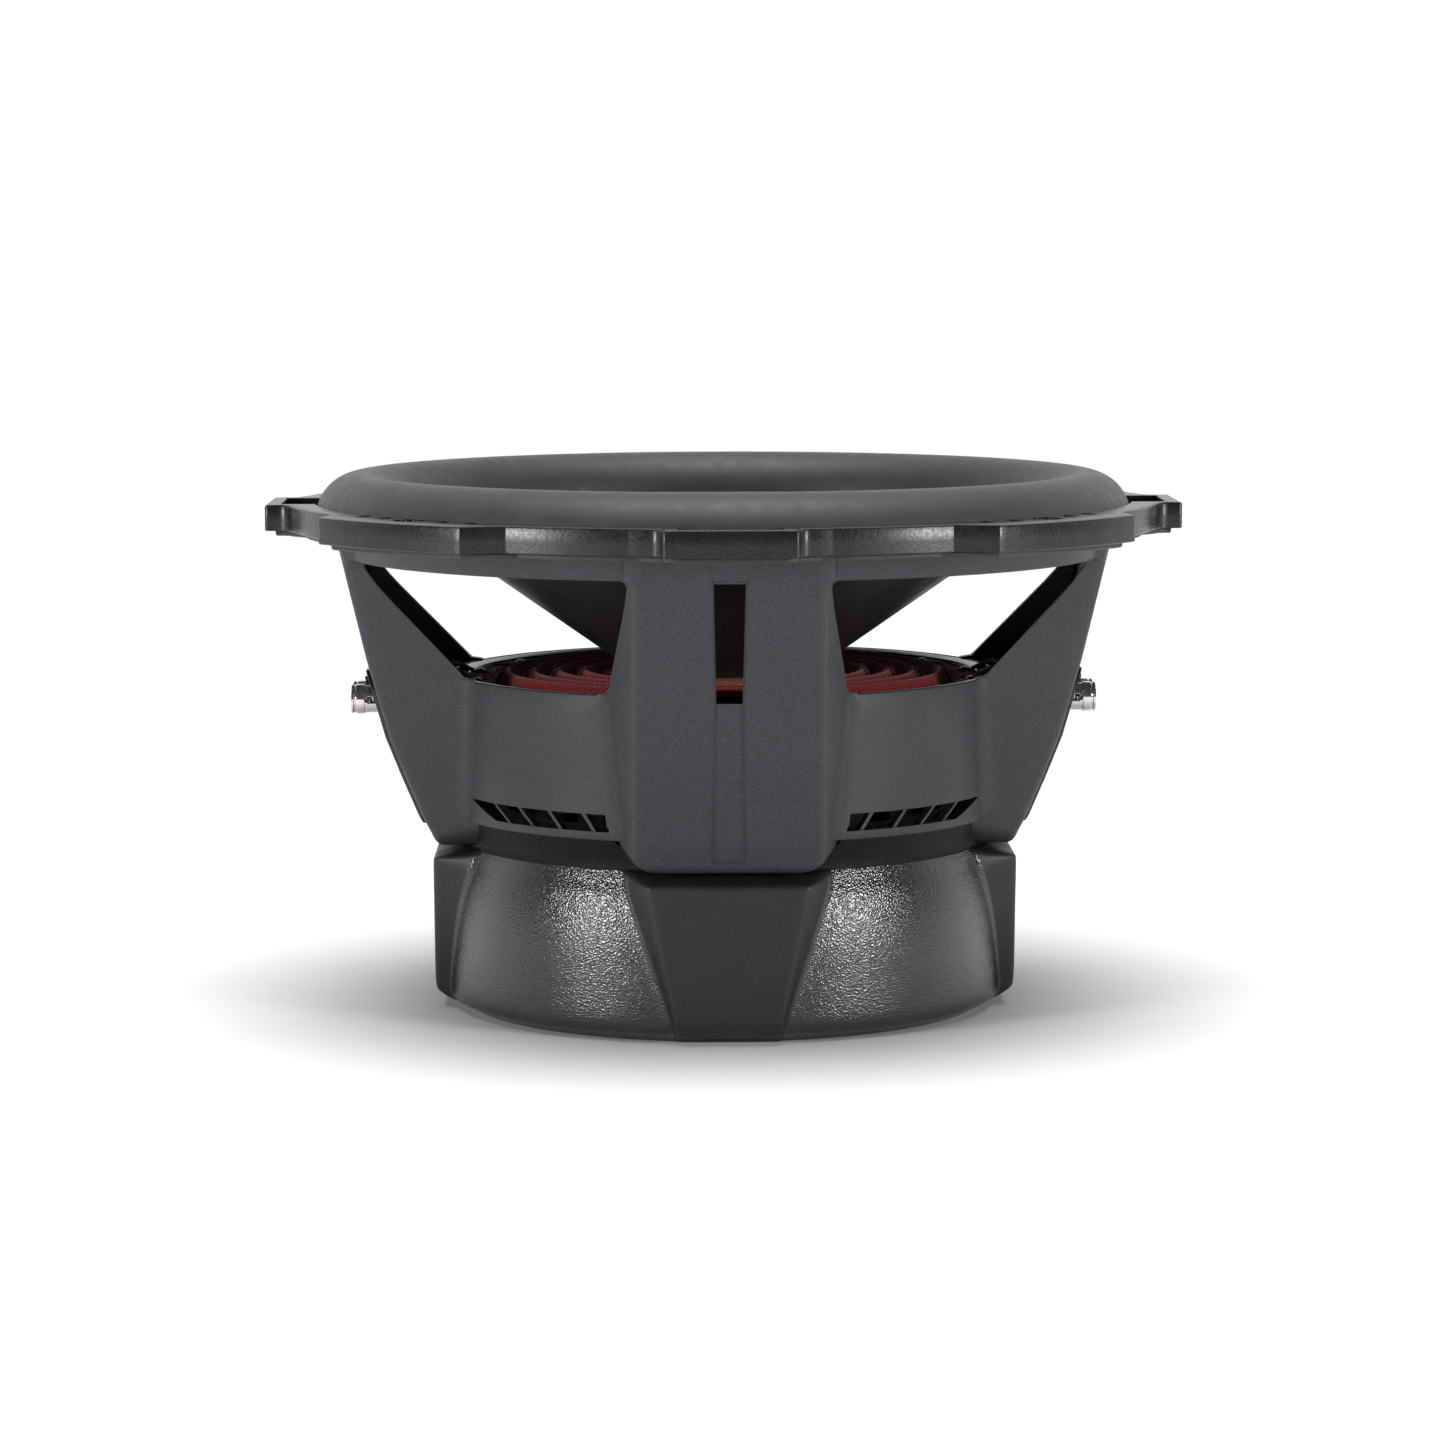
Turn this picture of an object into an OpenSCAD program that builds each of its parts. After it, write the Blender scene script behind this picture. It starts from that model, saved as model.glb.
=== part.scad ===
// Car subwoofer driver, 12 inch class, standing on its magnet.
// +Z is up, towards the cone's open side. The origin is on the axis, in the plane it stands on.
// Named radii are measured from the axis, and named heights from the standing plane.

/* [Overall] */
// Distance from the axis to the flat end of each ear of the trim ring
ear_reach = 162; // [161:0.5:164]
// Height of the trim ring's top face
ring_top = 180; // [179.5:0.1:180.5]
// Height of the mounting plane, which is the underside of the flange
mount_plane = 168.9; // [168.5:0.1:169.2]

/* [Trim ring] */
// Thickness of the trim ring
ring_t = 9.2; // [9:0.1:9.6]
// Radius of the ring's plain stretches
ring_r = 154; // [153.5:0.1:154.5]
// Radius of the four wide lobes between the ears
lobe_r = 164.5; // [164:0.1:165]
// Half width of an ear
ear_hw = 22.3; // [21.5:0.1:23]
// Wall left around the pocket of an ear
ear_wall = 5; // [4.5:0.1:5.5]
// Radius of the opening around the surround
ring_bore = 145.2; // [145:0.1:145.6]

/* [Mounting bolts] */
// Number of mounting holes
bolt_n = 8; // [8]
// Radius of the circle that the mounting holes lie on
bolt_circle_r = 151; // [150.5:0.1:151.5]
// Radius of a mounting hole
bolt_r = 2.75; // [2.5:0.05:3]

/* [Basket] */
// Outer radius of the basket's drum
drum_r = 98; // [97.5:0.1:98.5]
// Height of the drum's top edge
drum_top = 119; // [118.8:0.1:119.4]
// Height of the drum's lower edge
drum_low = 69; // [68.8:0.1:69.4]
// Wall thickness of the casting
cast_t = 4; // [3.8:0.1:4.2]
// Height of the underside of the rim, which is the top of the windows
window_top = 161; // [160.5:0.1:161.5]
// Half width of a spoke where it leaves the drum
spoke_hw_in = 41.4; // [41:0.1:42]
// Half width of a spoke at the rim
spoke_hw_out = 35.2; // [35:0.1:36]

/* [Moving assembly] */
// Radius of the crest of the surround's roll
roll_r = 129.4; // [129.2:0.1:129.6]
// Height of the crest of the surround's roll
roll_top = 190.5; // [190:0.1:191]
// Outer radius of the voice coil's former
former_r = 33.4; // [33.2:0.1:33.6]
// Radius of the dust cap's edge
cap_r = 52; // [48:1:54]
// Way that the cone moves, each way from rest
cone_travel = 14; // [10:1:14]

/* [Motor] */
// Radius of the ferrite magnets
magnet_r = 86; // [84:0.5:86.5]
// Thickness of one ferrite magnet
magnet_t = 19.5; // [19:0.1:20]
// Radius of the steel plates
plate_r = 80; // [78:1:81]
// Radius of the pole
pole_r = 31.4; // [31:0.1:31.6]
// Radius of the vent through the pole
vent_r = 13; // [10:1:15]

/* [Magnet boot] */
// Radius of the boot at its widest, between the pads
boot_r = 99.5; // [99:0.1:100.5]
// Distance from the axis to the flat face of a pad
pad_reach = 103.5; // [103:0.1:104.5]
// Height of the top edge of a pad
pad_top = 55; // [54:0.5:56]

/* [Terminals] */
// Height of the axis of a terminal
term_z = 109.6; // [109:0.1:110]
// Distance of a terminal from the middle of its spoke
term_y = 6.2; // [6:0.1:9]
// Distance from the axis to the end of a push cap
term_reach = 133; // [132.6:0.1:133.4]
// Way that a push cap goes in
cap_travel = 2; // [1.5:0.1:2]

/* [Hidden] */

fine = 128;
medium = 48;
coarse = 24;
eps = 0.01;

flange_t = 1.9;
ring_low = mount_plane + flange_t;
lobe_corner = [138.6, 88.5];
lobe_root = [134.8, 74.2];
ear_root = 150.3;
crease_y = 33.4;
ear_fillet = 4.5;
flange_inset = 3.5;
land_in = 139;
land_out = 147.5;
land_t = 1.2;

boot_floor = 3.5;
yoke_t = 9;
gap_r = 36.4;
yoke_top = boot_floor + yoke_t;
plate_low = yoke_top + 2 * magnet_t;
base_low = 62;
base_t = 4;
pole_top = 64;

spider_z = 116.4;
spider_out = 92;
shelf_z = spider_z - 1.8;
neck_z = 121.5;
neck_r = 36;
cone_edge_r = 113;
cone_edge_z = 175.8;
cone_t = 1.3;
cone_slope = 0.7;
plate_screw_z = [73, 116.8];
rib_angles = [36.7, 44.4, 52.4, 60.7];
rib_tilts = [55, 49, 42, 36];
coil_mid = (plate_low + base_low) / 2;
winding_h = 17;
short_h = 6;
former_low = yoke_top + short_h + cone_travel + 1.5;

// Outer face of a spoke as pairs of radius and height, from its foot to the rim
spoke_face = [[96, 58.8], [98.8, 59.1], [101, 60.3], [102.8, 62.2], [106.2, 68.5], [112.2, 82.5],
    [118, 97], [126.1, 125.1], [134.7, window_top]];

// Radius of a spoke's face at height z
function face_r(z) = lookup(z, [for (p = spoke_face) [p[1], p[0]]]);

// Points along an arc about c, from angle a0 to angle a1
function arc(c, r, a0, a1, n) = [for (i = [0:n]) c + r * [cos(a0 + (a1 - a0) * i / n),
    sin(a0 + (a1 - a0) * i / n)]];

module tube(r_out, r_in, z0, z1, f = fine) {
    difference() {
        translate([0, 0, z0]) cylinder(r = r_out, h = z1 - z0, $fn = f);
        translate([0, 0, z0 - 1]) cylinder(r = r_in, h = z1 - z0 + 2, $fn = f);
    }
}

// Unit vector
function unit(v) = v / norm(v);

// Route through the points with each straight stretch cut into parts on a smooth curve
function bend(p, i, u) = let(n = len(p) - 1, a = p[max(i - 1, 0)], b = p[i], c = p[i + 1],
    d = p[min(i + 2, n)])
    0.5 * (2 * b + (c - a) * u + (2 * a - 5 * b + 4 * c - d) * u * u
        + (3 * b - a - 3 * c + d) * u * u * u);
function smooth_route(p, parts) = concat(
    [for (i = [0:len(p) - 2], k = [0:parts - 1]) bend(p, i, k / parts)], [p[len(p) - 1]]);

// Tube of eight sides swept along a route that nowhere runs parallel to Y
module wire(points, r) {
    path = smooth_route(points, 4);
    n = len(path);
    rings = [for (i = [0:n - 1]) let(t = unit(path[min(i + 1, n - 1)] - path[max(i - 1, 0)]),
        v = unit(cross(t, [0, 1, 0])), w = cross(v, t))
        for (k = [0:7]) path[i] + r * (cos(45 * k) * v + sin(45 * k) * w)];
    polyhedron(rings, concat([[for (k = [0:7]) k]], [[for (k = [7:-1:0]) 8 * (n - 1) + k]],
        [for (i = [0:n - 2], k = [0:7]) [8 * i + k, 8 * i + 8 + k, 8 * i + 8 + (k + 1) % 8,
            8 * i + (k + 1) % 8]]));
}

// Outline plate of the ring and the flange: a disc, four ears and four lobes, drawn in by inset
module ring_plate(inset, z0, h) {
    translate([0, 0, z0]) {
        cylinder(r = ring_r - inset, h = h, $fn = fine);
        for (q = [0:3]) rotate(90 * q) {
            linear_extrude(h) polygon(concat(
                [[100, -crease_y + inset], [ear_root - inset, -crease_y + inset]],
                arc([ear_root + ear_fillet + 2.4, -ear_hw - ear_fillet + inset], ear_fillet,
                    180, 90, 6),
                [[ear_reach - inset, -ear_hw + inset], [ear_reach - inset, ear_hw - inset]],
                arc([ear_root + ear_fillet + 2.4, ear_hw + ear_fillet - inset], ear_fillet,
                    270, 180, 6),
                [[ear_root - inset, crease_y - inset], [100, crease_y - inset]]));
            intersection() {
                cylinder(r = lobe_r - inset, h = h, $fn = fine);
                linear_extrude(h) polygon([[60, 60], lobe_root + [-20, inset], lobe_root + [0, inset],
                    lobe_corner + [0, inset], lobe_corner + [8, inset + 30], [150, 150],
                    [lobe_corner[1] + inset + 30, lobe_corner[0] + 8],
                    [lobe_corner[1] + inset, lobe_corner[0]],
                    [lobe_root[1] + inset, lobe_root[0]], [lobe_root[1] + inset, lobe_root[0] - 20]]);
            }
        }
    }
}

module bolt_holes(z0, z1) {
    for (i = [0:bolt_n - 1]) rotate(360 / bolt_n * i) translate([bolt_circle_r, 0, z0])
        cylinder(r = bolt_r, h = z1 - z0, $fn = coarse);
}

module trim_ring() {
    pocket_floor = ring_low + 2.6;
    color("#1d1d20") difference() {
        ring_plate(0, ring_low, ring_t);
        translate([0, 0, ring_low - 1]) cylinder(r = ring_bore, h = ring_t + 2, $fn = fine);
        // Step over the landing of the surround
        translate([0, 0, ring_low - 1]) cylinder(r = land_out + 0.2, h = 1 + land_t + 0.1, $fn = fine);
        // Open pocket of each ear
        for (q = [0:3]) rotate(90 * q) translate([140, -ear_hw + ear_wall, pocket_floor])
            cube([ear_reach - ear_wall - 140, 2 * (ear_hw - ear_wall), ring_t]);
        // Screw recess in each lobe, and shallow pockets beside it
        for (q = [0:3]) rotate(90 * q + 45) {
            translate([bolt_circle_r, 0, pocket_floor]) cylinder(r = 5.5, h = ring_t, $fn = medium);
            for (a = [-10.5, -5.6, 5.6, 10.5]) rotate(a) translate([143, -2.6, pocket_floor + 1])
                cube([ear_reach - 10 - 143, 5.2, ring_t]);
        }
        bolt_holes(ring_low - 1, ring_top + 1);
    }
}

// Solid form of a spoke on the +X side, drawn in by t on its face and flanks
module spoke_form(t, z_low) {
    top = mount_plane + eps;
    outer = [for (p = spoke_face) if (p[1] >= z_low) [p[0] - t * 1.05, p[1]]];
    side = concat([[60, z_low], [face_r(z_low) - t * 1.05, z_low]], outer,
        [[136.6 - t, top], [127, top], [127, 159], [92.6, drum_top], [60, drum_top]]);
    slope = (spoke_hw_in - spoke_hw_out) / (face_r(window_top) - drum_r);
    hw_in = spoke_hw_in + slope * (drum_r - 60) - t;
    hw_out = spoke_hw_out - slope * 10 - t;
    intersection() {
        translate([0, 60, 0]) rotate([90, 0, 0]) linear_extrude(120) polygon(side);
        linear_extrude(180) polygon([[60, -hw_in], [144.7, -hw_out], [144.7, hw_out], [60, hw_in]]);
        rotate([90, 0, 90]) linear_extrude(180) foot_outline(-t * 0.6);
    }
}

// Spoke seen square on: a foot with rounded ramps up to the drum's lower edge, let out by grow
module foot_outline(grow) {
    ramp = [[20, 58.8], [24, 59.1], [27.4, 60], [30.6, 61.6], [33.6, 64], [39.4, 69.2]];
    polygon(concat([for (p = ramp) p + [grow, -grow]], [[60, 71], [60, 180], [-60, 180], [-60, 71]],
        [for (i = [5:-1:0]) [-ramp[i][0] - grow, ramp[i][1] - grow]]));
}

// Cross-slot of a spoke on the +X side, narrower at its foot
module spoke_slot() {
    translate([100, 0, 0]) rotate([90, 0, 90]) linear_extrude(50)
        polygon([[-4.4, 119.6], [4.4, 119.6], [5.35, 160.4], [-5.35, 160.4]]);
}

module basket() {
    color("#45464a") difference() {
        union() {
            // Rim and its flange
            rotate_extrude($fn = fine) polygon([[130.4, window_top], [134.7, window_top],
                [136.7, mount_plane], [150, mount_plane], [150, ring_low], [133.4, ring_low]]);
            difference() {
                ring_plate(flange_inset, mount_plane, flange_t);
                translate([0, 0, mount_plane - 1]) cylinder(r = 135.5, h = 10, $fn = fine);
            }
            // Drum, its floor and the shelf that carries the spider
            rotate_extrude($fn = fine) polygon([[40, base_low], [82.5, base_low], [82.5, drum_low],
                [drum_r, drum_low], [drum_r, drum_top], [96.2, drum_top], [96.2, shelf_z - 0.4],
                [84, shelf_z - 0.4], [84, shelf_z - 2.4], [drum_r - cast_t, shelf_z - 8],
                [drum_r - cast_t, drum_low + 2.6], [79, drum_low + 2.6], [79, base_low + base_t],
                [40, base_low + base_t]]);
            for (q = [0:3]) rotate(90 * q) difference() {
                spoke_form(0, 58.8);
                cylinder(r = 90, h = 200, $fn = fine);
                translate([0, 0, shelf_z - 8]) cylinder(r = 96.2, h = drum_top + 8 - shelf_z, $fn = fine);
                spoke_form(cast_t, 64);
            }
        }
        // Cross-slots of the front and rear spokes
        for (a = [90, 270]) rotate(a) spoke_slot();
        // Vent slots low in the drum, four of them
        for (m = [0, 1], n = [0, 1]) mirror([m, 0, 0]) mirror([0, n, 0]) vent_slot();
        // Openings for the terminals
        for (m = [0, 1], y = [-term_y, term_y]) mirror([m, 0, 0])
            translate([110, y, term_z]) rotate([0, 90, 0]) cylinder(r = 5.2, h = 30, $fn = coarse);
        for (m = [0, 1], z = plate_screw_z) mirror([m, 0, 0]) screw_place(z)
            cylinder(r = 1.3, h = 16, center = true, $fn = coarse);
        // Holes for the motor screws
        for (i = [0:7]) rotate(22.5 + 45 * i) translate([62, 0, 60])
            cylinder(r = 3.2, h = 20, $fn = coarse);
        bolt_holes(mount_plane - 1, ring_low + 1);
    }
    // Slanted ribs across each vent slot
    color("#45464a") for (m = [0, 1], n = [0, 1]) mirror([m, 0, 0]) mirror([0, n, 0])
        for (i = [0:3]) rotate(rib_angles[i]) translate([drum_r - 2.3, 0, 75])
            rotate([rib_tilts[i], 0, 0]) cube([2.6, 1.9, 5 + rib_tilts[i] / 8], center = true);
}

// Vent slot in the quarter between the +X and +Y spokes, with its slanted end towards +X
module vent_slot() {
    intersection() {
        difference() {
            translate([0, 0, 72]) cylinder(r = drum_r + 1, h = 6, $fn = fine);
            translate([0, 0, 71]) cylinder(r = drum_r - cast_t - 1, h = 8, $fn = fine);
        }
        // Its end near +Y is upright and its end near +X is slanted
        rotate([90, 0, 0]) mirror([0, 0, 1]) linear_extrude(120)
            polygon([[40.6, 71], [40.6, 79], [90.6, 79], [78.6, 71]]);
    }
}

module surround() {
    roll = ring_bore - roll_r - 0.1;
    t = 1.5;
    cz = roll_top - roll;
    foot = cone_edge_z - 0.3;
    color("#3a3b3d") rotate_extrude($fn = fine) polygon(concat(
        [[land_in, ring_low], [land_out, ring_low], [land_out, ring_low + land_t],
            [roll_r + roll, ring_low + land_t]],
        arc([roll_r, cz], roll, 0, 173, 28),
        [[cone_edge_r - 5.2, foot + 1.2], [cone_edge_r - 5.4, foot]],
        arc([roll_r, cz], roll - t, 177, 0, 28),
        [[land_in, ring_low + land_t]]));
}

// Height of the cone's inner skin at radius r
function cone_in(r) = neck_z + 1.2 + (r - neck_r + 1.5) * cone_slope;

module cone() {
    lip = cone_edge_r - 3.2;
    color("#1b1b1d") rotate_extrude($fn = fine) polygon([
        [former_r + eps, neck_z - 2], [former_r + cone_t, neck_z - 2], [neck_r, neck_z],
        [lip + 2.6, cone_in(lip) - 0.2], [lip, cone_in(lip)],
        [neck_r - 1.5, cone_in(neck_r - 1.5)], [former_r + eps, neck_z + 1]]);
}

module dust_cap() {
    edge_z = cone_in(cap_r) + 0.1;
    rise = 15;
    ball = (cap_r * cap_r + rise * rise) / (2 * rise);
    lean = asin(cap_r / ball);
    color("#202022") rotate_extrude($fn = fine) polygon(concat(
        arc([0, edge_z + rise - ball], ball, 90 - lean, 90, 20),
        arc([0, edge_z + rise - ball], ball - 1.2, 90, 90 - lean + 2.6, 20),
        [[cap_r - 3, cone_in(cap_r - 3) + 0.1]]));
}

module coil_former() {
    color("#b8a77a") tube(former_r, former_r - 0.8, former_low, 128);
}

module winding(z0) {
    color("#a5572b") tube(former_r + 1.6, former_r, z0, z0 + winding_h);
}

module coil_collar() {
    color("#2c2a28") tube(former_r + 0.9, former_r, 92, 112);
}

// Height of the spider's cloth at radius r: waves that grow towards the edge
function wave(r) = spider_z + 2.9 * sin(360 * (r - 38) / 9.4) * min(1, (r - 37) / 10)
    * min(1, (86.5 - r) / 5);

module spider() {
    t = 0.9;
    steps = 84;
    r0 = 37;
    r1 = 86;
    radii = [for (i = [0:steps]) r0 + (r1 - r0) * i / steps];
    color("#8a1a1a") rotate_extrude($fn = 96) polygon(concat(
        [[former_r + 0.02, spider_z - 4], [former_r + 0.9, spider_z - 4],
            [former_r + 1.6, spider_z - t / 2]],
        [for (r = radii) [r, wave(r) - t / 2]],
        [[spider_out, spider_z - t / 2], [spider_out, spider_z + t / 2]],
        [for (i = [steps:-1:0]) [radii[i], wave(radii[i]) + t / 2]],
        [[former_r + 0.02, spider_z + t / 2]]));
}

module spider_ring() {
    color("#101012") rotate_extrude($fn = fine) polygon([[85.5, shelf_z - 0.4], [96.1, shelf_z - 0.4],
        [96.1, 118.7], [95.4, 118.9], [92.7, 118], [92.2, 117.4], [92.2, spider_z - 0.5],
        [85.5, spider_z - 0.5]]);
}

module spider_pins() {
    color("#161618") for (i = [0:15]) rotate(11.25 + 22.5 * i) translate([89.2, 0, spider_z + 0.45])
        intersection() {
            translate([0, 0, -0.6]) sphere(r = 1.9, $fn = coarse);
            cylinder(r = 2.5, h = 3, $fn = coarse);
        }
}

// Woven leads lie on the spider from its edge to the former, two on each side
module tinsel_leads() {
    color("#c9a35a") for (m = [0, 1], n = [0, 1]) mirror([m, 0, 0]) mirror([0, n, 0])
        wire([[90, 12, 119.6], [84, 11.6, 120.4], [62, 9.4, 120.4], [44, 7.2, 120],
            [35.6, 5.6, 115]], 0.8);
}

module top_plate() {
    color("#5b5d60") difference() {
        tube(plate_r, gap_r, plate_low, base_low);
        for (i = [0:7]) rotate(22.5 + 45 * i) translate([62, 0, plate_low - 1])
            cylinder(r = 2.5, h = 20, $fn = coarse);
    }
}

module magnet(z0) {
    color("#37383a") tube(magnet_r, 44, z0, z0 + magnet_t);
}

module t_yoke() {
    color("#55575a") rotate_extrude($fn = fine) polygon([[vent_r, boot_floor + 3],
        [vent_r + 6, boot_floor], [plate_r + 3, boot_floor], [plate_r + 3, yoke_top - 2],
        [plate_r + 1, yoke_top], [pole_r - 1.6, yoke_top], [pole_r - 1.6, plate_low - 4],
        [pole_r, plate_low - 2], [pole_r, pole_top], [vent_r + 3, pole_top], [vent_r, pole_top - 4]]);
}

module pole_cap() {
    color("#b06a3b") difference() {
        translate([0, 0, 50]) cylinder(r = pole_r + 0.7, h = pole_top + 0.7 - 50, $fn = fine);
        translate([0, 0, 49]) cylinder(r = pole_r, h = pole_top - 49, $fn = fine);
        translate([0, 0, 60]) cylinder(r = vent_r + 3.5, h = 10, $fn = fine);
    }
}

module shorting_ring() {
    color("#b9bbbd") tube(43.4, pole_r - 1.6, yoke_top, yoke_top + short_h);
}

module motor_screws() {
    color("#2a2a2c") for (i = [0:7]) rotate(22.5 + 45 * i) translate([62, 0, 0]) {
        translate([0, 0, plate_low + 0.5]) cylinder(r = 2.45, h = base_low + base_t - plate_low - 0.4, $fn = coarse);
        difference() {
            translate([0, 0, base_low + base_t]) cylinder(r = 5, h = 5, $fn = coarse);
            translate([0, 0, base_low + base_t + 2]) cylinder(r = 2.5, h = 5, $fn = 6);
        }
    }
}

module magnet_boot() {
    inner = magnet_r + 0.4;
    color("#1a1a1c") difference() {
        union() {
            rotate_extrude($fn = fine) polygon([[20, 0], [93, 0], [97.6, 1.6], [boot_r - 0.2, 4.6],
                [boot_r, 8], [99.2, 22], [98.4, 35], [96.6, 47], [94.6, 53.5], [93.2, 57],
                [92.6, 60], [93, 63], [95.4, drum_low - 0.1], [20, drum_low - 0.1]]);
            intersection() {
                translate([0, 0, 3]) cylinder(r = 120, h = pad_top - 3, $fn = fine);
                for (q = [0:3]) rotate(90 * q) intersection() {
                    rotate([90, 0, 90]) linear_extrude(pad_reach)
                        polygon([[-24, 0], [24, 0], [36.5, pad_top], [-36.5, pad_top]]);
                    linear_extrude(pad_top) polygon([[80, -60], [pad_reach, -28], [pad_reach, 28], [80, 60]]);
                }
            }
        }
        translate([0, 0, boot_floor]) cylinder(r = inner, h = 54, $fn = fine);
        translate([0, 0, 50]) cylinder(r = 84.6, h = 30, $fn = fine);
        translate([0, 0, -1]) cylinder(r = vent_r + 8, h = 10, $fn = fine);
        // Seats for the feet of the spokes
        for (q = [0:3]) rotate(90 * q) translate([70, 0, 0]) rotate([90, 0, 90])
            linear_extrude(50) foot_outline(0.3);
    }
}

// A terminal's place: side is 1 on the right and -1 on the left, row is -1 in front and 1 behind
module at_terminal(side, row) {
    mirror([side < 0 ? 1 : 0, 0, 0]) translate([0, row * term_y, term_z]) rotate([0, 90, 0])
        children();
}

// Place of a plate screw at height z on the +X side, square to the spoke's face
module screw_place(z) {
    lean = atan((face_r(z + 1) - face_r(z - 1)) / 2);
    translate([face_r(z), 0, z]) rotate([0, 90 + lean, 0]) children();
}

// Plate that follows the face of the spoke on the +X side, a little proud of it
module terminal_plate(side) {
    low = 66;
    high = 121;
    lift = 0.15;
    plate_t = 2.2;
    levels = [low, 68.5, 82.5, 97, high];
    color("#0d0d0f") mirror([side < 0 ? 1 : 0, 0, 0]) difference() {
        translate([0, 19, 0]) rotate([90, 0, 0]) linear_extrude(38) polygon(concat(
            [for (z = levels) [face_r(z) + lift, z]],
            [for (i = [4:-1:0]) [face_r(levels[i]) + lift + plate_t, levels[i]]]));
        for (row = [-1, 1]) translate([110, row * term_y, term_z]) rotate([0, 90, 0])
            cylinder(r = 5.05, h = 30, $fn = coarse);
        screw_place(plate_screw_z[0]) cylinder(r = 1.85, h = 20, center = true, $fn = coarse);
        screw_place(plate_screw_z[1]) cylinder(r = 1.3, h = 20, center = true, $fn = coarse);
    }
}

module terminal_screws() {
    // The lower head lies inside the plate and the upper one stands on it
    color("#6d6f72") for (m = [0, 1], i = [0, 1]) mirror([m, 0, 0]) screw_place(plate_screw_z[i]) {
        translate([0, 0, -6]) cylinder(r = 1.2, h = 7, $fn = coarse);
        translate([0, 0, i == 0 ? 0.3 : 0.5]) cylinder(r = i == 0 ? 1.75 : 1.2, h = 2, $fn = coarse);
        if (i == 1) translate([0, 0, 2.45]) cylinder(r = 1.6, h = 2.2, $fn = coarse);
    }
}

// Fixed sleeve with the wire slot across it
module sleeve(side, row) {
    color("#c8c6c3") at_terminal(side, row) difference() {
        translate([0, 0, 116]) cylinder(r = 4.95, h = 13.2, $fn = medium);
        translate([0, 0, 115]) cylinder(r = 4.1, h = 15, $fn = medium);
        translate([-1.25, -8, 123]) cube([2.5, 16, 4.1]);
        translate([0, 8, 127.1]) rotate([90, 0, 0]) cylinder(r = 1.25, h = 16, $fn = coarse);
    }
}

// Sprung cap that slides over the sleeve
module push_cap(side, row) {
    skirt = 2 * cap_travel + 0.8;
    color("#c8c6c3") at_terminal(side, row) difference() {
        union() {
            translate([0, 0, term_reach - skirt]) cylinder(r = 5.35, h = skirt - 1.4, $fn = medium);
            translate([0, 0, term_reach - 1.5]) cylinder(r = 4.95, h = 0.6, $fn = medium);
            translate([0, 0, term_reach - 1]) cylinder(r = 5.25, h = 1, $fn = medium);
        }
        translate([0, 0, term_reach - skirt - 1]) cylinder(r = 5.03, h = skirt - 0.6, $fn = medium);
    }
}

// Contact post in the middle of a terminal
module post(side, row) {
    color("#c9a24a") at_terminal(side, row) difference() {
        union() {
            translate([0, 0, 112]) cylinder(r = 2.1, h = 16.2, $fn = coarse);
            translate([0, 0, 116.2]) cylinder(r = 4.05, h = 1.6, $fn = coarse);
        }
        translate([0, 8, 126.4]) rotate([90, 0, 0]) cylinder(r = 1.2, h = 16, $fn = coarse);
    }
}

// Coil spring around the post, drawn as its outer shape
module spring(side, row) {
    color("#9a9ca0") at_terminal(side, row) tube(3.6, 2.6, 117.8, term_reach - 1.7, coarse);
}

module solder_lugs() {
    color("#c9a24a") for (m = [0, 1], row = [-1, 1]) mirror([m, 0, 0])
        translate([109.2, row * term_y - 2, term_z - 3]) cube([2.8, 4, 6]);
}

// Insulated wires from the solder lugs up to the edge of the spider, on the +X side
module lead_wires(side) {
    color("#1c1c1e") mirror([side < 0 ? 1 : 0, 0, 0]) for (n = [0, 1]) mirror([0, n, 0])
        wire([[109.8, term_y, term_z], [106.5, 6.6, 110.2], [102.5, 8, 115], [99, 10, 120.8],
            [95.5, 11.6, 121.2], [90, 12, 119.6]], 1.2);
}

basket();
trim_ring();
surround();
cone();
dust_cap();
coil_former();
winding(coil_mid);  // upper_winding
winding(coil_mid - winding_h);  // lower_winding
coil_collar();
spider();
spider_ring();
spider_pins();
tinsel_leads();
top_plate();
magnet(yoke_top + magnet_t);  // upper_magnet
magnet(yoke_top);  // lower_magnet
t_yoke();
pole_cap();
shorting_ring();
motor_screws();
magnet_boot();
terminal_plate(-1);  // terminal_plate_left
terminal_plate(1);  // terminal_plate_right
terminal_screws();
solder_lugs();
lead_wires(-1);  // lead_wires_left
lead_wires(1);  // lead_wires_right
sleeve(-1, -1);  // sleeve_left_front
sleeve(-1, 1);  // sleeve_left_rear
sleeve(1, -1);  // sleeve_right_front
sleeve(1, 1);  // sleeve_right_rear
push_cap(-1, -1);  // push_cap_left_front
push_cap(-1, 1);  // push_cap_left_rear
push_cap(1, -1);  // push_cap_right_front
push_cap(1, 1);  // push_cap_right_rear
post(-1, -1);  // post_left_front
post(-1, 1);  // post_left_rear
post(1, -1);  // post_right_front
post(1, 1);  // post_right_rear
spring(-1, -1);  // spring_left_front
spring(-1, 1);  // spring_left_rear
spring(1, -1);  // spring_right_front
spring(1, 1);  // spring_right_rear
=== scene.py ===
"""Looks of a 12 inch car subwoofer driver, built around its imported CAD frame.

Lengths in the tables below are millimetres, turned to metres when a mesh is made.
"""
import math

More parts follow.
